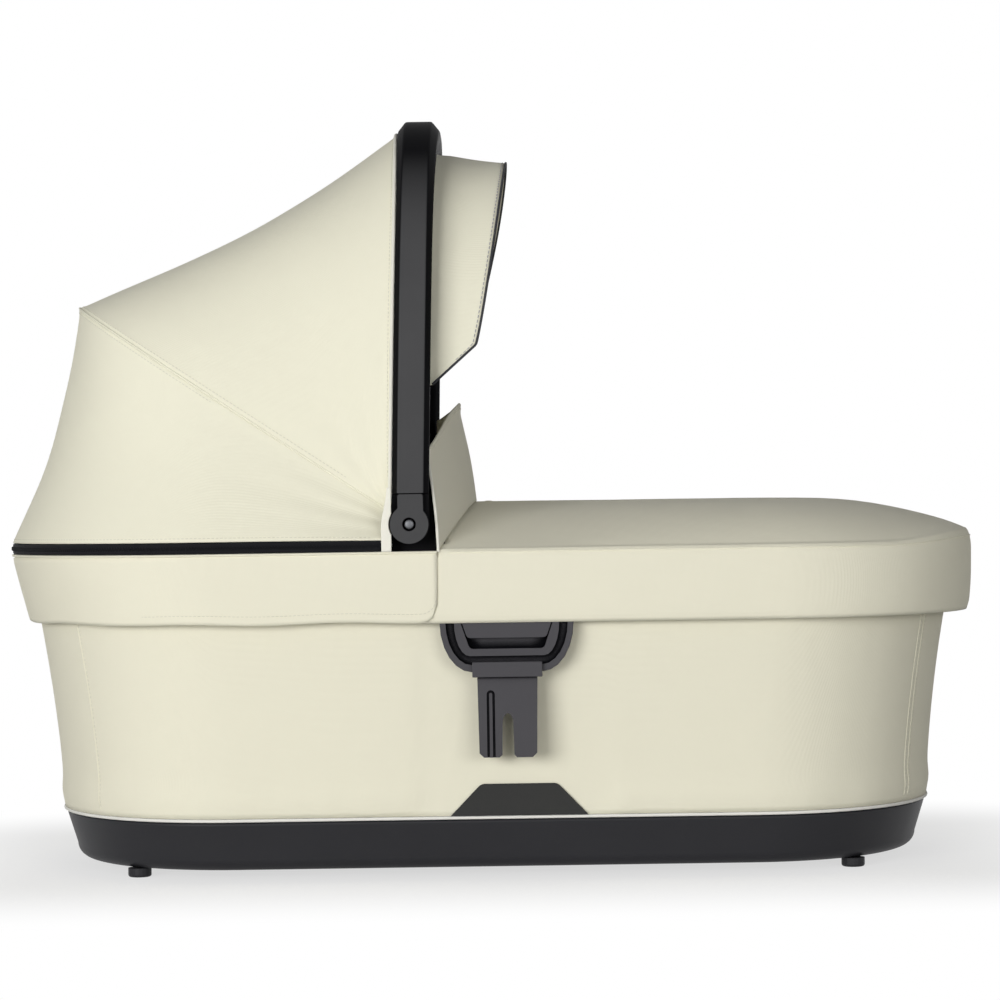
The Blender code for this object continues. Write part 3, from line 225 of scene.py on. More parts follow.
def cloth_material(name, colour, weave=0.0009, crease=0.0006, sheen=0.12, specular=0.15):
    """Woven cloth: threads at the weave's pitch, slubs, faint patches of colour and small creases."""
    material, n = new_material(name)
    place = n.add("TexCoord").outputs["Object"]
    waves = [n.math("SINE", n.math("MULTIPLY", part, 2 * pi / weave)) for part in n.parts(place)]
    weave_height = n.math("ADD", n.math("ADD", waves[0], waves[1]), waves[2])
    slub = n.noise(place, scale=900.0, detail=2.0)
    patches = n.noise(place, scale=5.0, detail=4.0, roughness=0.6)
    creases = n.noise(place, scale=26.0, detail=3.0)
    mix = n.math("MULTIPLY_ADD", slub, 0.35, n.math("MULTIPLY", patches, 0.65))
    threads = n.bump(0.35, 0.00012, weave_height)
    n.surface(
        {
            "Base Color": n.colours(mix, toned(colour, -0.035), toned(colour, 0.021)),
            "Roughness": n.ramp(slub, 0.0, 1.0, 0.86, 0.97),
            "Normal": n.bump(0.5, crease, creases, Normal=threads),
            "Sheen Weight": sheen,
            "Sheen Roughness": 0.5,
            "Specular IOR Level": specular,
        }
    )
    return material


def moulded_material(
    name, colour, roughness, grain=0.00005, grain_scale=1600.0, shine=0.18, index=1.5, painted_side_shade=None, painted_recess_shade=None
):
    """Moulded plastic with a fine grain. Painted shade can darken the faces that don't look outwards to the
    side, and the recesses, with less shine there.
    """
    material, n = new_material(name)
    coordinates = n.add("TexCoord")
    place = coordinates.outputs["Object"]
    fine = n.noise(place, grain_scale, detail=3.0)
    wide = n.noise(place, scale=14.0, detail=3.0)
    shade = n.colours(wide, toned(colour, -0.12), toned(colour, 0.12))
    painted_shade_masks = []
    # Painted shade on the sides: faces that don't look outwards, away from the middle, get a darker colour
    # and less shine.
    if painted_side_shade:
        across = n.parts(place)[1]
        sideways = n.parts(coordinates.outputs["Normal"])[1]
        outward_facing = n.math("MULTIPLY", n.math("SIGN", across), sideways)
        painted_shade_masks.append((n.ramp(outward_facing, 0.62, 0.97, 0.0, 1.0, "SMOOTHSTEP"), painted_side_shade))
    # Painted shade in the recesses: ambient occlusion within the piece darkens them and takes their shine
    # away.
    if painted_recess_shade:
        depth = n.add("AmbientOcclusion", {"Distance": 0.012}, samples=8, only_local=True)
        painted_shade_masks.append((n.ramp(depth.outputs["AO"], 0.62, 0.96, 0.0, 1.0, "SMOOTHSTEP"), painted_recess_shade))
    # Each mask mixes in its painted shade colour and lowers the shine where it holds.
    for unshaded_share, shade_colour in painted_shade_masks:
        shade = n.colours(unshaded_share, (*shade_colour, 1), shade)
        shine = n.math("MULTIPLY_ADD", unshaded_share, shine - 0.02, 0.02)
    n.surface(
        {
            "Base Color": shade,
            "Roughness": n.ramp(wide, 0.0, 1.0, roughness - 0.07, roughness + 0.07),
            "Normal": n.bump(0.4, grain, fine),
            "Specular IOR Level": shine,
            "IOR": index,
        }
    )
    return material


def metal_material(name, colour, roughness):
    material, n = new_material(name)
    fine = n.noise(n.add("TexCoord").outputs["Object"], scale=700.0, detail=4.0)
    n.surface(
        {
            "Base Color": (*colour, 1),
            "Metallic": 1.0,
            "Roughness": n.ramp(fine, 0.0, 1.0, roughness - 0.06, roughness + 0.1),
            "Normal": n.bump(0.25, 0.00003, fine),
        }
    )
    return material


TAPE = {"weave": 0.0006, "sheen": 0.04, "specular": 0.1}
MATERIALS = {
    "cover": cloth_material("cover_cloth", (0.85, 0.82, 0.665)),
    "canopy": cloth_material("canopy_cloth", (0.87, 0.845, 0.685), crease=0.0009),
    # The flap's cloth is darker than the cover's and the canopy's: painted shade.
    "flap": cloth_material("flap_cloth", (0.80, 0.775, 0.65)),
    "lining": cloth_material("lining_cloth", (0.60, 0.585, 0.52), weave=0.0014),
    "mattress": cloth_material("mattress_cloth", (0.84, 0.83, 0.77), weave=0.0018, crease=0.0012),
    "strip": cloth_material("strip_cloth", (0.90, 0.88, 0.78), weave=0.0006, crease=0.0003),
    "piping": cloth_material("piping_cloth", (0.86, 0.85, 0.80), weave=0.0006, crease=0.0002),
    "thread": cloth_material("thread", (0.72, 0.70, 0.58), weave=0.0004, crease=0.0001),
    "grey_thread": cloth_material("grey_thread", (0.42, 0.42, 0.43), weave=0.0004, crease=0.0001),
    "zip": cloth_material("zip_tape", (0.012, 0.012, 0.014), crease=0.0002, **TAPE),
    "edging": cloth_material("black_edging", (0.010, 0.010, 0.012), crease=0.0001, **TAPE),
    "grey_edging": cloth_material("grey_edging", (0.055, 0.056, 0.062), crease=0.0001, **TAPE),
    "tray": moulded_material("tray_plastic", (0.020, 0.020, 0.023), 0.5, grain=0.00012, grain_scale=700.0),
    "black": moulded_material("black_plastic", (0.008, 0.008, 0.009), 0.5, shine=0.05, index=1.3),
    # The handle's near-black side colour is painted shade.
    "handle": moulded_material(
        "handle_plastic", (0.062, 0.062, 0.064), 0.5, index=1.3, painted_side_shade=(0.005, 0.005, 0.006)
    ),
    # The adapter's near-black recess colour is painted shade.
    "adapter": moulded_material("adapter_plastic", (0.058, 0.056, 0.062), 0.5, painted_recess_shade=(0.002, 0.002, 0.003)),
    "tab": moulded_material("tab_rubber", (0.034, 0.034, 0.033), 0.75, grain=0.0004, grain_scale=420.0),
    "steel": metal_material("pin_steel", (0.11, 0.113, 0.12), 0.45),
    "board": moulded_material("board", (0.11, 0.11, 0.115), 0.8),
}


def dress(obj, material):
    obj.data.materials.clear()
    obj.data.materials.append(MATERIALS[material])
    return obj


def stand_for(nodes):
    """Hides the CAD nodes that a piece replaces."""
    if nodes:
        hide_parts(*nodes)


def settle(piece, body, *nodes, slot="cream_fabric"):
    """Puts a piece on its body."""
    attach(piece, body)
    stand_for(nodes)


# ---- numbers and lines


def clamped(value):
    return min(max(value, 0), 1)


def eased(value, start, end):
    """0 before the start, 1 past the end, and a smooth rise between them."""
    share = clamped((value - start) / (end - start))
    return share * share * (3 - 2 * share)


def bell(offset, width):
    """1 at no offset, and a smooth fall to 0 on both sides."""
    return exp(-((offset / width) ** 2))


def power_of(value, exponent):
    return copysign(abs(value) ** exponent, value)


def ruffled(point, scale, amount, seed):
    """A small smooth shift for a point, the same each run."""
    return amount * noise.noise(Vector(point) * scale + Vector((seed, seed * 1.7, seed * 0.6)))


def up(height):
    return Vector((0, 0, height))


def run_of(line):
    """How far along the line each of its points is."""
    run = [0.0]
    for a, b in zip(line, line[1:]):
        run.append(run[-1] + (b - a).length)
    return run


def even(steps):
    """Shares from 0 to 1 in even steps, with both ends."""
    return [k / steps for k in range(steps + 1)]


def points_at(line, run, distances):
    """The points at rising distances along a line."""
    found, k = [], 0
    for distance in distances:
        while k < len(line) - 2 and run[k + 1] < distance:
            k += 1
        found.append(line[k].lerp(line[k + 1], (distance - run[k]) / max(run[k + 1] - run[k], 1e-9)))
    return found


def resample(points, count, closed=False):
    """A number of points at even steps along a line."""
    line = [Vector(p) for p in points]
    if closed:
        line.append(line[0])
    run = run_of(line)
    shares = even(count if closed else count - 1)[:count]
    return points_at(line, run, [run[-1] * share for share in shares])


def softened(outline, radius, steps=3):
    """A closed outline with each corner rounded."""
    found = []
    for k, corner in enumerate(outline):
        before, after = outline[k - 1], outline[(k + 1) % len(outline)]
        reach = min(radius, 0.4 * (before - corner).length, 0.4 * (after - corner).length)
        a = corner + (before - corner).normalized() * reach
        b = corner + (after - corner).normalized() * reach
        found += [a.lerp(corner, t).lerp(corner.lerp(b, t), t) for t in even(steps)]
    return found


def column(rows, at):
    """A line up a sheet, at a place between its columns."""
    left = int(at)
    return [row[left].lerp(row[(left + 1) % len(row)], at - left) for row in rows]


def corner_points(length, width):
    """A quarter of a plan's end, from its middle to where the straight side begins."""
    along, across = 0.84 * width, 0.97 * width
    power = 2 / 2.05
    turns = [pi / 2 * share for share in even(28)[:-1]] + [pi / 2 - 1e-7]
    return [
        Vector((length - along + along * cos(a) ** power, width - across + across * sin(a) ** power, 0))
        for a in turns
    ]


def loop(length, width, height, count):
    """A plan of the tub at a height, anticlockwise from the middle of the foot end, in even steps."""
    quarter = [Vector((length, 0, 0))] + corner_points(length, width)
    upper = quarter + [Vector((-p.x, p.y, 0)) for p in reversed(quarter)]
    whole = upper + [Vector((p.x, -p.y, 0)) for p in reversed(upper[1:-1])]
    return [p + up(height) for p in resample(whole, count, closed=True)]


def head_half(length, width, end_x, height, count):
    """The head end of a plan, from the far side round to the near side."""
    corner = [Vector((-p.x, p.y, 0)) for p in reversed(corner_points(length, width))]
    far = [Vector((end_x, width, 0))] + corner + [Vector((-length, 0, 0))]
    whole = far + [Vector((p.x, -p.y, 0)) for p in reversed(far[:-1])]
    return [p + up(height) for p in resample(whole, count)]


def arch(half_span, reach, foot, count):
    """An arch as pairs of y and distance from the pivot, from the far foot over the top to the near foot."""
    power = 2 / 3
    first = asin((foot / reach) ** (1 / power))
    turns = [first + (pi - 2 * first) * share for share in even(400)]
    curve = [(half_span * power_of(cos(turn), power), reach * sin(turn) ** power, 0) for turn in turns]
    return [(p.x, p.y) for p in resample(curve, count)]


def at_angle(y, radius, angle):
    """A point at a distance from the pivots' line, at an angle above the head end."""
    turn = radians(angle)
    return Vector((PIVOT_X - radius * cos(turn), y, PIVOT_Z + radius * sin(turn)))


def wall_plan(height):
    """Half the length and half the width of the tub's fabric at a height. It draws in towards the base."""
    rise = clamped((height - WALL_BOTTOM) / (SKIRT_BOTTOM - WALL_BOTTOM))
    tuck = max(height - SKIRT_BOTTOM, 0) / (RIM_BOTTOM - SKIRT_BOTTOM)
    narrowing = 1 - rise**1.6
    return WALL_HALF_LENGTH - 0.0185 * narrowing + 0.0105 * tuck, WALL_HALF_WIDTH - 0.0155 * narrowing


def outward(point, amount):
    """A shift away from the middle line of the tub, level."""
    way = Vector((power_of(point.x / 0.4, 5), power_of(point.y / 0.2, 3), 0))
    return point + way.normalized() * amount if way.length else point


def calm(x):
    """How far the cover may bulge: 0 behind the side tabs and the adapters, and 1 away from them."""
    return eased(abs(x - 0.0175), 0.0725, 0.0905)


# ---- meshes


@contextmanager
def edited(obj):
    """The object's mesh, opened for mesh code and then written back."""
    mesh = bmesh.new()
    mesh.from_mesh(obj.data)
    yield mesh
    mesh.to_mesh(obj.data)
    mesh.free()


def bridge(mesh, rows, closed):
    """Four-sided faces between rows of vertices."""
    width = len(rows[0])
    for low, high in zip(rows, rows[1:]):
        for i in range(width if closed else width - 1):
            j = (i + 1) % width
            mesh.faces.new((low[i], low[j], high[j], high[i]))


def capped(mesh, test):
    """Closes the open edges whose first vertex passes a test with one face."""
    rim = [e for e in mesh.edges if e.is_boundary and test(e.verts[0].co)]
    bmesh.ops.contextual_create(mesh, geom=rim)


def cut_at(mesh, point, normal, drop=None):
    """Splits a mesh along a plane, and takes away the faces whose middle the test names."""
    everything = mesh.verts[:] + mesh.edges[:] + mesh.faces[:]
    bmesh.ops.bisect_plane(mesh, geom=everything, plane_co=point, plane_no=normal)
    if drop:
        gone = [f for f in mesh.faces if drop(f.calc_center_median())]
        bmesh.ops.delete(mesh, geom=gone, context="FACES")


def share_points(obj, shares):
    obj.data.attributes.new("share", "FLOAT", "POINT").data.foreach_set("value", shares)


def skin(name, rows, material, closed=False, shares=None):
    """A sheet through rows of points, which faces out where rows climb and points run anticlockwise."""
    mesh = bmesh.new()
    bridge(mesh, [[mesh.verts.new(p) for p in row] for row in rows], closed)
    obj = mesh_object(name, mesh)
    if shares:
        share_points(obj, [share for row in shares for share in row])
    return dress(obj, material)


def applied(obj):
    """The object with its modifiers made part of its mesh."""
    bpy.context.view_layer.update()
    graph = bpy.context.evaluated_depsgraph_get()
    data = bpy.data.meshes.new_from_object(obj.evaluated_get(graph))
    obj.modifiers.clear()
    obj.data = data
    return obj


def thick(obj, thickness=CLOTH):
    """A sheet made solid, inwards from its outer face."""
    wall = obj.modifiers.new("wall", "SOLIDIFY")
    wall.thickness, wall.offset, wall.use_even_offset = thickness, -1, True
    return applied(obj)


def flat_faced(obj):
    """Large faces stay flat in the shading, and their rounded edges take up the turn."""
    level = obj.modifiers.new("flats", "WEIGHTED_NORMAL")
    level.weight = 100
    return applied(obj)


def tube(name, points, radius, material, closed=False, sides=2):
    data = bpy.data.curves.new(name, "CURVE")
    data.dimensions = "3D"
    data.bevel_depth = radius
    data.bevel_resolution = sides
    data.use_fill_caps = not closed
    spline = data.splines.new("POLY")
    spline.points.add(len(points) - 1)
    for target, point in zip(spline.points, points):
        target.co = (*point, 1)
    spline.use_cyclic_u = closed
    curve = link(bpy.data.objects.new(name, data))
    bpy.context.view_layer.update()
    mesh = bpy.data.meshes.new_from_object(curve.evaluated_get(bpy.context.evaluated_depsgraph_get()))
    bpy.data.objects.remove(curve)
    mesh.name = name
    mesh.shade_smooth()
    return dress(link(bpy.data.objects.new(name, mesh)), material)


def snapped(obj, points, lift=0.0):
    """The points moved onto a piece's surface, and then out from it by a lift."""
    found = []
    for p in points:
        hit, place, normal, _ = obj.closest_point_on_mesh(p)
        found.append(place + normal * lift if hit else Vector(p))
    return found


def stitches(
    name, cloth, line, body, lift=0.00006, material="thread", pitch=0.0036, length=0.0025, radius=0.00032
):
    """Stitches along a line on cloth: small rounded bars, whose middles stand off it by the lift."""
    points = snapped(cloth, line, lift)
    run = run_of(points)
    starts = []
    at = pitch / 2
    while at + length < run[-1]:
        starts.append(at)
        at += pitch
    ends = points_at(points, run, [spot for start in starts for spot in (start, start + length)])
    mesh = bmesh.new()
    around = [Vector((cos(i * pi / 3), sin(i * pi / 3), 0)) for i in range(6)]
    for a, b in zip(ends[::2], ends[1::2]):
        turn = (b - a).normalized().to_track_quat("Z", "Y").to_matrix()
        rings = []
        for share, width in ((0.0, 0.35), (0.16, 0.9), (0.5, 1.0), (0.84, 0.9), (1.0, 0.35)):
            rings.append([mesh.verts.new(a.lerp(b, share) + turn @ p * radius * width) for p in around])
        bridge(mesh, rings, closed=True)
        mesh.faces.new(rings[0][::-1])
        mesh.faces.new(rings[-1])
    settle(dress(mesh_object(name, mesh), material), body)


def slab(name, outline, y_inner, y_outer, hole, material, side):
    """A plate that stands across the object, with eased edges and a round hole at the pivot."""
    mesh = bmesh.new()
    face = mesh.faces.new([mesh.verts.new((x, side * y_inner, z)) for x, z in outline])
    grown = bmesh.ops.extrude_face_region(mesh, geom=[face])["geom"]
    for vert in (g for g in grown if isinstance(g, bmesh.types.BMVert)):
        vert.co.y = side * y_outer
    bmesh.ops.recalc_face_normals(mesh, faces=mesh.faces)
    plate = mesh_object(name, mesh)
    mesh = bmesh.new()
    turn = Matrix.Translation((PIVOT_X, 0, PIVOT_Z)) @ Matrix.Rotation(pi / 2, 4, "X")
    bmesh.ops.create_cone(mesh, cap_ends=True, segments=48, radius1=hole, radius2=hole, depth=1, matrix=turn)
    drill = mesh_object("drill", mesh)
    cut = plate.modifiers.new("hole", "BOOLEAN")
    cut.operation, cut.object = "DIFFERENCE", drill
    ease = plate.modifiers.new("edges", "BEVEL")
    ease.width, ease.segments, ease.angle_limit = 0.0009, 3, radians(50)
    plate = applied(plate)
    bpy.data.objects.remove(drill)
    plate.data.shade_smooth()
    return dress(flat_faced(plate), material)


def follow_fold(obj, before, after, near, far, *nodes, slot="cream_fabric"):
    """Bakes the cloth's placement into its mesh, reads each point's share and takes that attribute off, and
    hides the CAD nodes it stands in for.
    """
    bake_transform(obj)
    shares = [0.0] * len(obj.data.vertices)
    obj.data.attributes["share"].data.foreach_get("value", shares)
    obj.data.attributes.remove(obj.data.attributes["share"])
    stand_for(nodes)


# ---- tub


def make_cover():
    """The outer fabric of the tub, with its upright seams and a row of stitches beside each."""
    rows = []
    count = 320
    for share in even(40):
        rise = (WALL_TOP - WALL_BOTTOM) * share
        height = WALL_BOTTOM + rise
        slack = sin(pi * share) ** 0.5
        roll = 0.0016 * bell(rise - 0.014, 0.010) - 0.0004 * bell(rise, 0.005)
        row = []
        for p in loop(*wall_plan(height), height, count):
            pucker = 0.0007 * bell(rise, 0.034) * (0.5 + ruffled((p.x, p.y, height * 0.10), 52, 1.0, 8.0))
            drape = 0.0011 * (0.6 + ruffled((p.x, p.y, height * 0.30), 8, 1.0, 3.0)) * slack
            row.append(outward(p, max(roll + pucker + drape, 0) * calm(p.x)))
        rows.append(row)
    cover = thick(skin("cover_cloth", rows, "cover", closed=True))
    settle(cover, "tub", "tub_cover")
    middle = rows[len(rows) // 2]
    to_stitch = 0.36  # columns from a seam to its row of stitches
    for end, x, shifts in (("head", -0.347, (0.0,)), ("foot", 0.362, (-0.55, 0.55))):
        for side, label in SIDES:
            at = min((i for i in range(count) if middle[i].y * side > 0), key=lambda i: abs(middle[i].x - x))
            for number, shift in enumerate(shifts):
                name = f"{end}_{label}_{number}"
                line = snapped(cover, resample(column(rows[1:-1], at + shift), 60))
                settle(tube("cover_seam_" + name, line, 0.0005, "cover", sides=1), "tub")
                beside = resample(column(rows[1:-1], at + shift + to_stitch), 60)
                stitches("cover_stitch_" + name, cover, beside, "tub", lift=0.00005)


def make_lining():
    """The quilted lining of the tub, just inside the stiff wall."""
    rows = []
    inset, pitch = 0.0062, 0.09
    foot = TRAY_TOP + 0.001
    for share in even(24):
        height = foot + (WALL_TOP - foot) * share
        length, width = wall_plan(height)
        row = []
        for p in loop(length - inset, width - inset, height, 220):
            fullness = 0.0009 * (1 + cos(p.x * 2 * pi / pitch)) * sin(pi * share)
            row.append(outward(p, -0.0004 - fullness))
        rows.append(row[::-1])
    lining = thick(skin("lining_cloth", rows, "lining", closed=True), 0.001)
    settle(lining, "tub", "inner_lining", slot="lining")


def make_piping():
    length, width = wall_plan(WALL_BOTTOM)
    line = loop(length - 0.0002, width - 0.0002, TRAY_TOP + 0.0016, 260)
    piping = tube("base_piping_cloth", line, 0.0014, "piping", closed=True, sides=3)
    settle(piping, "tub", "base_piping", slot="piping")


def make_skirt():
    """The band over the rim at the head end. It is tucked in along both edges and has round lower corners."""
    rows = []
    count, corner, fold = 260, 0.0145, 0.003
    profile = [(1.0, 0.0), (0.96, 0.03), (0.5, 0.48), (0.03, 0.94), (0.0, 0.98), (0.1, 1.0)]
    ends = head_half(HALF_LENGTH, HALF_WIDTH, SKIRT_END, 0, count)
    for tuck, rise, _ in resample([(a, b, 0) for a, b in profile], 18):
        held = sin(pi * min(rise * 1.05, 1))
        row = []
        flat = head_half(HALF_LENGTH - 0.014 * tuck, HALF_WIDTH - 0.0006 * tuck, SKIRT_END, 0, count)
        for i, q in enumerate(flat):
            run = abs(SKIRT_END - ends[i].x)
            lift = 0.0
            if run < corner and (i < 20 or i > count - 21):
                lift = corner - sqrt(max(corner**2 - (corner - run) ** 2, 0))
            bottom = SKIRT_BOTTOM + lift + 0.0006 * sin(i * 0.19) + ruffled(q, 12, 0.0010, 5.0)
            height = bottom + (SKIRT_TOP - fold - bottom) * rise
            puff = 0.0005 * held + 0.0012 * max(ruffled((q.x, q.y, height), 14, 1.0, 2.0), -0.3) * held
            row.append(outward(q, puff) + up(height))
        rows.append(row)
    for draw, rise in [(0.5, 0.55), (1.6, 0.93), (3.0, 1.0), (12.5, 1.0)]:
        inset = 0.001 * draw
        height = SKIRT_TOP - fold + fold * rise
        rows.append(head_half(HALF_LENGTH - inset, HALF_WIDTH - inset, SKIRT_END, height, count))
    skirt = thick(skin("skirt_cloth", rows, "cover"))
    settle(skirt, "tub", "rear_skirt")
    hem = [p + up(0.0042) for p in rows[1]]
    stitches("skirt_hem_stitch", skirt, hem, "tub")
    bead = head_half(HALF_LENGTH - 0.0001, HALF_WIDTH - 0.0001, SKIRT_END, SKIRT_TOP - 0.0012, 240)
    settle(tube("skirt_piping", bead, 0.0011, "cover"), "tub", slot="piping")


def make_zip():
    """The zip's tape with rounded edges, and its coil as a fine zigzag."""
    ease, end_x = 0.0008, -0.0905
    profile = [(0.0006, ZIP_BOTTOM), (0, ZIP_BOTTOM + ease), (0, ZIP_TOP - ease), (0.0006, ZIP_TOP)]
    rows = [head_half(HALF_LENGTH - inset, HALF_WIDTH - inset, end_x, z, 200) for inset, z in profile]
    tape = thick(skin("zip_tape", rows, "zip"), 0.0016)
    settle(tape, "tub", "zip_strip", slot="zip_tape")
    proud, middle = 0.0006, (ZIP_BOTTOM + ZIP_TOP) / 2
    line = head_half(HALF_LENGTH + proud, HALF_WIDTH + proud, end_x - 0.002, middle, 720)
    coil = [p + up(0.0011 if k % 2 else -0.0011) for k, p in enumerate(line)]
    settle(tube("zip_coil", coil, 0.0007, "edging", sides=1), "tub", slot="zip_tape")


def make_edge_strips():
    """The pale strip that covers each end of the zip and runs up beside the hub to the handle."""
    foot, height, hub = 0.2759, 0.0530, 0.0165
    for side, label in SIDES:
        rows = []
        for z in (foot + height * share for share in even(32)):
            reach = sqrt(max(hub**2 - (z - PIVOT_Z) ** 2, 0))
            right = min(-0.0828, PIVOT_X - reach - 0.0006)
            left = -0.0912 + 0.0050 * eased(z, 0.296, 0.329)
            xs = [left + (right - left) * share for share in even(8)][::-side]
            rows.append([Vector((x, side * (HALF_WIDTH + 0.0016), z)) for x in xs])
        strip = thick(skin("canopy_strip_" + label, rows, "strip"))
        settle(strip, "tub")


def apron_rise(depth, x=0.0):
    """The apron's height at a depth from its edge: steep round the foot end, softer along the sides."""
    edge = 0.0085 + 0.0095 * eased(x, 0.33, 0.425)
    crown = 0.0470 - edge
    fullness = 2.3 + 1.6 * eased(x, -0.01, 0.20)
    if depth < EDGE_RADIUS:
        inset = 1 - max(depth, 0) / EDGE_RADIUS
        return APRON_SHOULDER + edge * sqrt(1 - inset * inset)
    to_middle = max(APRON_HALF_WIDTH - depth, 0) / (APRON_HALF_WIDTH - EDGE_RADIUS)
    return APRON_SHOULDER + edge + crown * (1 - to_middle**fullness)


def make_apron():
    """The cover over the foot end: side band, rounded edge and crowned top, cut off at the hubs."""
    rows = []
    count = 320
    for share in even(16):
        height = APRON_HEM + (APRON_SHOULDER - APRON_HEM) * share
        hem = 0.0014 * bell(height - APRON_HEM, 0.004)
        row = []
        for p in loop(HALF_LENGTH, APRON_HALF_WIDTH, height, count):
            tuck = 0.0035 * (1 - share) * max(p.x / HALF_LENGTH, 0) ** 6
            sag = 0.0010 * sin(pi * share) * (0.6 + ruffled((p.x, p.y, height * 0.5), 13, 1.0, 1.0))
            row.append(outward(p, sag - hem - tuck))
        rows.append(row)
    depths = [EDGE_RADIUS * (1 - cos(pi / 2 * k / 8)) for k in range(1, 9)]
    shares = [0.012, 0.03, 0.055, 0.085, 0.12, 0.16, 0.2, 0.25, 0.3]
    shares += [0.36, 0.43, 0.5, 0.58, 0.67, 0.77, 0.87, 0.95]
    depths += [EDGE_RADIUS + (APRON_HALF_WIDTH - EDGE_RADIUS) * share for share in shares]
    for depth in depths:
        ease = min(depth / 0.05, 1)
        row = []
        for p in loop(HALF_LENGTH - depth, APRON_HALF_WIDTH - depth, 0, count):
            lift = (ruffled(p, 6, 0.0022, 6.0) + ruffled((p.x * 0.5, p.y, 0), 19, 0.0010, 16.0)) * ease
            row.append(p + up(apron_rise(depth, p.x) + lift))
        rows.append(row)
    apron = skin("apron_cloth", rows, "cover", closed=True)
    level, hub_side = APRON_SHOULDER + 0.0008, 0.2095
    band_end, bar_front, flap_foot = -0.0655, -0.0455, -0.039
    with edited(apron) as mesh:
        capped(mesh, lambda p: p.z > APRON_SHOULDER + 0.012)
        cut_at(mesh, (band_end, 0, 0), (1, 0, 0), lambda p: p.x < band_end)
        cut_at(mesh, (0, 0, level), (0, 0, 1))
        for side, _ in SIDES:
            cut_at(mesh, (0, side * hub_side, 0), (0, 1, 0))
        cut_at(mesh, (bar_front, 0, 0), (1, 0, 0), lambda p: p.x < bar_front and p.z > level)
        behind = lambda p: p.x < flap_foot and p.z > level and abs(p.y) < hub_side
        cut_at(mesh, (flap_foot, 0, 0), (1, 0, 0), behind)
    apron.data.shade_smooth()
    thick(apron)
    settle(apron, "tub", "apron")
    depth = 0.0012
    half = head_half(HALF_LENGTH - depth, APRON_HALF_WIDTH - depth, 0.036, 0, 300)
    edge = [Vector((-p.x, -p.y, apron_rise(depth, -p.x))) for p in half]  # turned round to the foot end
    settle(tube("apron_seam", snapped(apron, edge, 0.0001), 0.0007, "cover"), "tub")


def make_snap():
    """The flat press stud on the apron's crest, in front of the flap."""
    profile = [(0.0038, -0.0008), (0.0038, 0.0), (0.0034, 0.0004), (0.0022, 0.0007), (0.0, 0.0008)]
    x, z = -0.0027, apron_rise(APRON_HALF_WIDTH) - 0.0004
    turns = [2 * pi * k / 28 for k in range(28)]
    rows = [[Vector((x + r * cos(a), r * sin(a), z + height)) for a in turns] for r, height in profile]
    stud = skin("apron_snap", rows, "cover", closed=True)
    with edited(stud) as mesh:
        bmesh.ops.remove_doubles(mesh, verts=mesh.verts, dist=0.00001)
    stud.data.shade_smooth()
    settle(stud, "tub")


# ---- tray and tabs


def make_tray():
    """The moulded base, with a rounded foot edge and walls that lean out to their top."""
    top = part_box("base_tray")[1]
    foot, rounding, count = 0.008, 0.012, 280
    rows = []
    for turn in (pi / 2 * share for share in even(8)):
        depth = 0.0085 + rounding * (1 - sin(turn))
        rows.append(loop(top.x - depth, top.y - depth, foot + rounding * (1 - cos(turn)), count))
    for inset, fall in ((0.0003, 0.0035), (0, 0.002), (0.0004, 0.0)):
        rows.append(loop(top.x - inset, top.y - inset, top.z - fall, count))
    tray = skin("tray_moulding", rows, "tray", closed=True)
    with edited(tray) as mesh:
        capped(mesh, lambda p: p.z < foot + 0.001)
    settle(thick(tray, 0.003), "tub", "base_tray", slot="black_plastic")


def make_tabs():
    """The rubber tabs on the long sides, narrower at their heads."""
    for _, label in SIDES:
        low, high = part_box("side_tab_" + label)
        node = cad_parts["side_tab_" + label]
        tab = link(bpy.data.objects.new("tab_pad_" + label, node.data.copy()))
        middle = (low.x + high.x) / 2
        tab.data.transform(node.matrix_world)
        for vert in tab.data.vertices:
            share = (vert.co.z - low.z) / (high.z - low.z)
            vert.co.x = middle - 0.0008 + (vert.co.x - middle) * (0.985 - 0.145 * share)
        settle(dress(tab, "tab"), "tub", "side_tab_" + label, slot="tab_material")


# ---- handle


def handle_shape(rise):
    """The middle, the half width and the flat face's share of the handle at a height above the pivot."""
    climb = clamped((rise - HANDLE_FOOT) / 0.3173)
    return -0.0668 + 0.0078 * climb, 0.0154 * (1 + 0.20 * climb**8), 0.71 - 0.09 * climb**8


def make_handle():
    """The carry handle's arch, which leans forward a little and widens at its crest."""
    deep = 0.0125  # half the bar's depth, from its outer face to its inner one
    middle = [Vector((y, r)) for y, r in arch(HALF_WIDTH - deep, 0.3555 - deep, HANDLE_FOOT, 181)]
    middle[0].y = middle[-1].y = HANDLE_FOOT
    step = Vector((0, 0.0004))
    middle = [middle[0], middle[0] + step] + middle[1:-1] + [middle[-1] + step, middle[-1]]
    last = len(middle) - 1
    rows = []
    for k, point in enumerate(middle):
        along = (middle[min(k + 1, last)] - middle[max(k - 1, 0)]).normalized()
        if min(k, last - k) < 2:
            along = Vector((0, 1 if k < 2 else -1))
        out = Vector((along.y, -along.x))
        centre, half, face = handle_shape(point.y)
        right = [(half * face, deep), (half, deep - 0.0085), (half, 0.0075 - deep), (half * 0.72, -deep)]
        corners = [Vector((-x, d)) for x, d in right] + [Vector((x, d)) for x, d in right[::-1]]
        ring = [(p.x, point + out * p.y) for p in softened(corners, 0.0016)]
        rows.append([Vector((centre + x, spot.x, PIVOT_Z + spot.y)) for x, spot in ring])
    bar = skin("handle_bar_moulding", rows, "handle", closed=True)
    with edited(bar) as mesh:
        for side, _ in SIDES:
            capped(mesh, lambda p: p.y * side > 0)
        bmesh.ops.recalc_face_normals(mesh, faces=mesh.faces)
    bar.data.shade_smooth()
    settle(flat_faced(bar), "handle", "handle_bar", slot="handle_plastic")


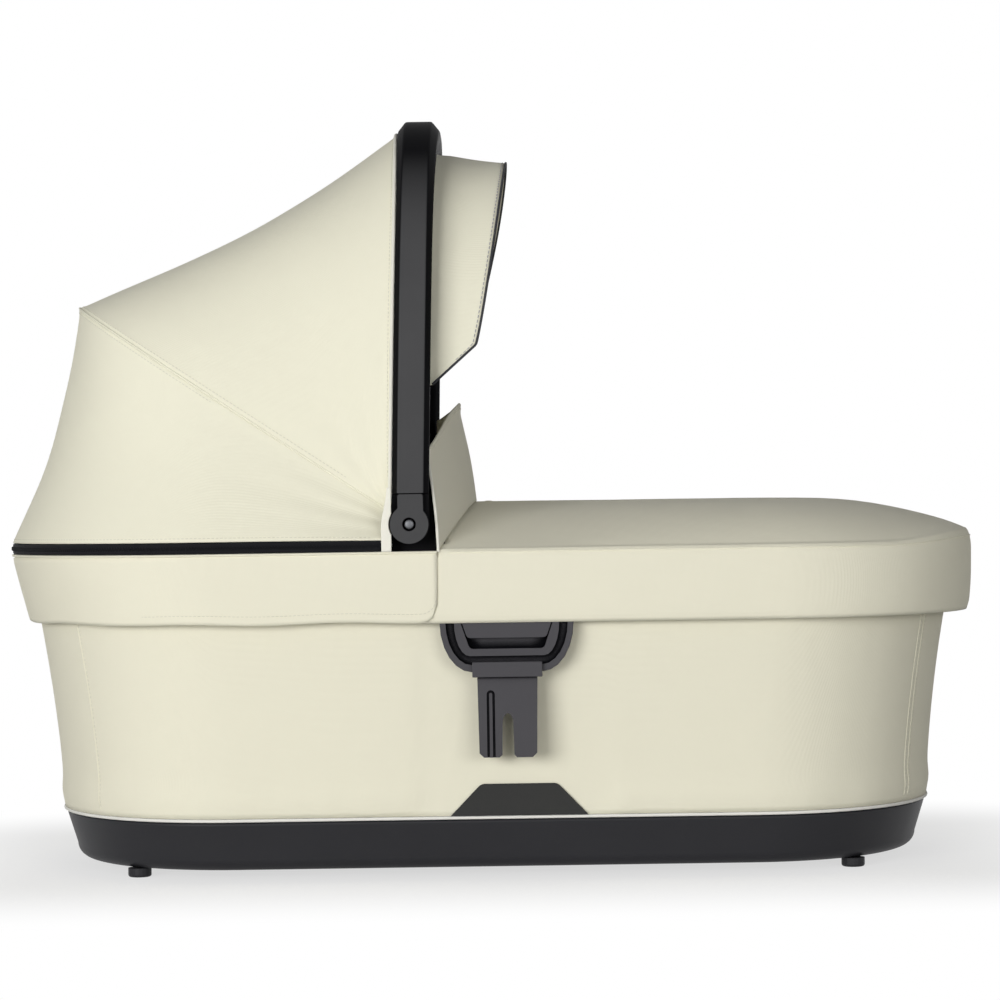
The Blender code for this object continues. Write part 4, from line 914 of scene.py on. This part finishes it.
def make_handle_ends():
    """Each foot of the handle: a raised face with the round boss, on a darker body as wide as the bar."""
    boss, top = 0.0165, PIVOT_Z + 0.0254
    centre, half, face_share = handle_shape(0)

    def lower_arc(first, last):
        turns = [radians(first + (last - first) * share) for share in even(40)]
        return [(PIVOT_X + boss * cos(a), PIVOT_Z + boss * sin(a)) for a in turns]

    neck = half * face_share
    right = degrees(acos((centre + neck - PIVOT_X) / boss))
    left = degrees(acos((centre - neck - PIVOT_X) / boss))
    face = lower_arc(right, left - 360) + [(centre - neck, top), (centre + neck, top)]
    body = lower_arc(8, -188) + [(centre - half, top + 0.0004), (centre + half, top + 0.0004)]
    face = [tuple(p) for p in softened([Vector(p) for p in face], 0.002, 2)]
    for side, label in SIDES:
        plate = slab("handle_foot_face_" + label, face, 0.2185, HALF_WIDTH, 0.0053, "handle", side)
        settle(plate, "handle", "handle_end_" + label, slot="handle_plastic")
        back = slab("handle_foot_body_" + label, body, 0.2056, 0.2190, 0.0043, "black", side)
        settle(back, "handle", slot="handle_plastic")


# ---- bedding


def swell(pad, bottom, ceiling):
    """Fills a pad: it is remeshed evenly, blown up a little as cloth, and kept inside its space."""
    even = pad.modifiers.new("even", "REMESH")
    even.mode, even.voxel_size = "VOXEL", 0.006
    applied(pad)
    furthest = 0.004
    before = [v.co.copy() for v in pad.data.vertices]
    held = pad.vertex_groups.new(name="held")
    held.add([k for k, p in enumerate(before) if p.z < bottom + 0.004], 1.0, "REPLACE")
    cloth = pad.modifiers.new("cloth", "CLOTH").settings
    cloth.use_pressure, cloth.uniform_pressure_force = True, 4
    cloth.effector_weights.gravity = 0
    cloth.vertex_group_mass = "held"
    for number in range(1, 21):
        bpy.context.scene.frame_set(number)
    applied(pad)
    bpy.context.scene.frame_set(1)
    for vert, start in zip(pad.data.vertices, before):
        move = vert.co - start
        if move.length > furthest:
            move *= furthest / move.length
        vert.co = start + move
        vert.co.z = min(max(vert.co.z, bottom), ceiling)
    pad.modifiers.new("fine", "SUBSURF").levels = 1
    applied(pad)


def quilt(pad, top):
    """Sewn channels across the upper face, six centimetres apart, which run out before the sides."""
    pitch = 0.06
    for vert in pad.data.vertices:
        p = vert.co
        near_top = clamped((p.z - top + 0.002) / 0.004)
        inside = clamped((0.165 - abs(p.y)) / 0.012) * clamped((0.345 - abs(p.x)) / 0.02)
        gap = abs((p.x + pitch / 2) % pitch - pitch / 2)
        p.z -= 0.0024 * bell(gap, 0.0035) * near_top * inside


def make_mattress():
    """The mattress pad: a quilted form, swollen by a short cloth simulation with its lower face held."""
    low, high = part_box("mattress")
    length, width = 0.3685, 0.1795
    bottom, top = low.z, high.z - 0.0095
    count, side_draw, start = 200, 0.007, 0.0098
    rows = []
    sides = [(1.6, 0.0), (0.9, 0.16), (0.4, 0.34), (0.1, 0.55), (0.1, 0.75), (0.5, 0.9), (1.4, 1.0)]
    for draw, rise in sides:
        inset = side_draw * draw
        rows.append(loop(length - inset, width - inset, bottom + (top - bottom) * rise, count))
    for share in (0.04, 0.12, 0.24, 0.38, 0.54, 0.7, 0.85, 0.96):
        depth = start + (width - start) * share
        crown = 0.006 * sin(pi / 2 * share)
        rows.append(loop(length - depth, width - depth, top + crown, count))
    mattress = skin("mattress_pad", rows, "mattress", closed=True)
    with edited(mattress) as mesh:
        capped(mesh, lambda p: p.z > top)
        capped(mesh, lambda p: True)
    swell(mattress, bottom, high.z)
    quilt(mattress, top)
    mattress.data.shade_smooth()
    settle(dress(mattress, "mattress"), "tub", "mattress", slot="mattress_cover")


# ---- canopy, visor and flap


def hoop(first, last, steps, sag, seed, peak, seam_first):
    """Cloth drawn in between two arches, most at its peak: rows of points, and each row's share of the way.

    A small ridge stands along the seam, which is the first arch or the last.
    """
    rows, shares = [], []
    count = len(first)
    warp = log(0.5) / log(peak)
    for share in even(steps):
        held = sin(pi * share**warp)
        row = []
        for k, (a, b) in enumerate(zip(first, last)):
            point = a.lerp(b, share)
            inward = Vector((PIVOT_X - point.x, -point.y * 0.3, PIVOT_Z - point.z)).normalized()
            side = k / (count - 1)
            ease = sin(pi * side) ** 0.55
            wave = ruffled(point, 11, 0.0020, seed) * held
            near_hub = bell(min(side, 1 - side) - 0.07, 0.08)
            fan = 0.0008 * sin(share * 19 + seed) * near_hub * held
            from_seam = (share if seam_first else 1 - share) * (b - a).length
            ridge = 0.0013 * bell(from_seam, 0.0045)
            row.append(point + inward * (sag * held * ease + wave + fan - ridge * ease))
        rows.append(row)
        shares.append([share] * count)
    return rows, shares


def make_canopy():
    """The canopy's two panels between zip, bow and handle, with their seam, stitches and pale edge."""
    count, gap = 160, 0.0003
    seam = arch(0.2025, 0.352, 0.0215, count)

    def along_seam(points, shift, lift=0.0):
        return [at_angle(y, r + lift, BOW_ANGLE + degrees(shift / r)) for y, r in points]

    base = head_half(HALF_LENGTH, HALF_WIDTH, -0.0862, ZIP_TOP + 0.0010, count)
    edge = []
    for y, r in arch(HALF_WIDTH - 0.0135, 0.3440, 0.0140, count):
        centre, half, _ = handle_shape(r)
        edge.append(Vector((centre - half - 0.0004, y, PIVOT_Z + r)))

    rows, shares = hoop(base, along_seam(seam, -gap), 40, sag=0.0095, seed=4.0, peak=0.5, seam_first=False)
    rear = thick(skin("canopy_rear_cloth", rows, "canopy", shares=shares))
    follow_fold(rear, "tub", "bow", (0, 0, 0.2845), (0, 0, 0.493), "canopy_rear")

    rows, shares = hoop(along_seam(seam, gap), edge, 56, sag=0.0130, seed=7.0, peak=0.56, seam_first=True)
    front = thick(skin("canopy_front_cloth", rows, "canopy", shares=shares))
    follow_fold(front, "bow", "handle", (-0.352, 0, 0), (-0.080, 0, 0), "canopy_front")

    spine = [(y, r) for y, r in arch(0.1957, 0.3452, 0.0054, count) if r > 0.014]
    settle(tube("bow_sleeve", along_seam(spine, 0.0), 0.0038, "canopy", sides=4), "bow")
    settle(tube("canopy_seam", along_seam(seam, 0.0, 0.0010), 0.0010, "canopy"), "bow")
    for name, panel, shift in (("rear", rear, -0.0042), ("front", front, 0.0042)):
        run = along_seam(seam[3:-3], shift, 0.0004)
        stitches("canopy_stitch_" + name, panel, run, "bow")
    rim = [p + Vector((-0.0012, 0, 0)) for p in edge[1:-1]]
    settle(tube("canopy_edge_piping", rim, 0.0018, "strip"), "handle", slot="piping")
    run = [p + Vector((-0.0050, 0, 0)) for p in edge[3:-3]]
    stitches("canopy_edge_stitch", front, run, "handle")
    foot = [p + up(0.0035) for p in base[2:-2]]
    stitches("canopy_foot_stitch", rear, foot, "tub")


VISOR_FOOT, VISOR_ROOT, VISOR_PEAK = 0.1167, 0.3325, 0.3183  # heights above the pivot
VISOR_STEEP = 0.033  # height of the steep part of the visor's side edge


def visor_forward(rise):
    """How far in front of its feet the visor's edge is, at a height above them."""
    if rise < VISOR_STEEP:
        return 0.0368 * max(rise, 0) / VISOR_STEEP
    share = (rise - VISOR_STEEP) / (VISOR_PEAK - VISOR_FOOT - VISOR_STEEP)
    return 0.0368 + 0.0280 * min(share, 1) ** 0.85


def far_rise(y, rise, peak):
    """How far down the visor's far half a point is, and its height. The photograph shows that half higher."""
    down = eased(peak - rise, 0, peak - VISOR_FOOT) if y > 0 else 0.0
    return down, rise + 0.0270 * down


def make_visor():
    """The visor's cloth from the handle to its wire, with stitches and a grey binding along the edge."""
    count, front_x = 400, -0.0475
    picks = [0, *range(3, count - 3, 3), count - 1]
    start = []
    for y, r in arch(HALF_WIDTH - 0.0253, VISOR_ROOT, VISOR_FOOT, count):
        rise = far_rise(y, r, VISOR_ROOT)[1]
        start.append(Vector((handle_shape(rise)[0], y, PIVOT_Z + rise)))
    brim = []
    for y, r in arch(0.2015, VISOR_PEAK, VISOR_FOOT, count):
        down, rise = far_rise(y, r, VISOR_PEAK)
        brim.append(Vector((front_x + visor_forward(r - VISOR_FOOT) - 0.0050 * down, y, PIVOT_Z + rise)))
    start = [start[i] for i in picks]
    edge = [brim[i] for i in picks]
    rows, shares = [], []
    for share in even(16):
        held = 4 * share * (1 - share)
        fold = 0.0016 * bell(share - 0.22, 0.10)
        row = []
        for a, b in zip(start, edge):
            p = a.lerp(b - Vector((0.0009, 0, 0)), share)
            inward = Vector((0, -p.y, PIVOT_Z - p.z)).normalized()
            row.append(p + inward * (0.0022 * held + ruffled(p, 14, 0.0014, 9.0) * held + fold))
        rows.append(row)
        shares.append([share] * len(row))
    visor = thick(skin("visor_cloth", rows, "canopy", shares=shares))
    follow_fold(visor, "handle", "visor_frame", (-0.064, 0, 0), (0.017, 0, 0), "visor")
    inner = [b + (a - b).normalized() * 0.0030 for a, b in zip(start, edge)]
    grey = {"lift": 0.00008, "material": "grey_thread", "pitch": 0.0042, "length": 0.0030, "radius": 0.00045}
    stitches("visor_stitch", visor, inner[4:-4], "visor_frame", **grey)
    settle(tube("visor_binding", brim, 0.00105, "grey_edging"), "visor_frame", "visor_wire", slot="wire")


def make_flap():
    """The wind flap on the apron's edge. Each point of its cloth gets a share that grows with its height
    above the foot.
    """
    half_foot, half_head = APRON_HALF_WIDTH - 0.0010, APRON_HALF_WIDTH - 0.0265
    hinge = apron_rise(APRON_HALF_WIDTH)
    middle, turned = hinge + 0.0870, hinge + 0.038
    rows, shares = [], []
    for rise in even(30):
        lip = 0.0016 * bell(1 - rise, 0.06)
        row = []
        for across in (2 * share - 1 for share in even(140)):
            sweep = across * across
            drop = 0.0104 if across > 0 else 0.0427
            foot_y = half_foot * across
            foot_z = apron_rise(APRON_HALF_WIDTH - abs(foot_y)) + 0.0006
            foot = Vector((-0.0133 - 0.0300 * sweep, foot_y, foot_z))
            head = Vector((-0.0282 - 0.0234 * sweep, half_head * across, middle - drop * sweep))
            point = foot.lerp(head, rise)
            point.x += 0.0015 * sin(pi * rise) + ruffled(point, 15, 0.0022, 12.0) * rise + lip
            row.append(point)
        rows.append(row)
        shares.append([eased(p.z, hinge, turned) for p in row])
    flap = thick(skin("flap_cloth", rows, "flap", shares=shares), 0.0014)
    fold = "tub", "flap", (0, 0, 0.28), (0, 0, 0.39)
    follow_fold(flap, *fold, "wind_flap", slot="flap_fabric")
    top = [p + Vector((-0.0007, 0, 0.0002)) for p in rows[-1]]
    settle(tube("flap_binding", top, 0.0011, "flap"), "flap", slot="flap_fabric")
    stitches("flap_stitch", flap, rows[-2][2:-2], "flap")
    for end, label in ((0, "near"), (-1, "far")):
        side = [row[end] + Vector((-0.0007, 0, 0)) for row in rows]
        binding = tube("flap_side_" + label, side, 0.0013, "strip")
        share_points(binding, [eased(v.co.z, hinge, turned) for v in binding.data.vertices])
        follow_fold(binding, *fold, slot="flap_fabric")


# ---- CAD pieces that stay in view


def finish_cad():
    def pairs(*names):
        return [f"{name}_{label}" for name in names for _, label in SIDES]

    looks = {
        "tray": [f"foot_{k}" for k in range(1, 5)],
        "black": ["rim_frame", "bow", *pairs("hub_plate", "lock_button")],
        "adapter": pairs("adapter_frame", "adapter_fork", "release_lever"),
        "steel": pairs("pivot_pin"),
        "board": ["tub_shell", "floor_board"],
    }
    for material, names in looks.items():
        for name in names:
            dress(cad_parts[name], material)


make_studio()
make_cover()
make_lining()
make_piping()
make_skirt()
make_zip()
make_tray()
make_tabs()
make_handle()
make_handle_ends()
make_edge_strips()
make_apron()
make_snap()
make_mattress()
make_canopy()
make_visor()
make_flap()
finish_cad()
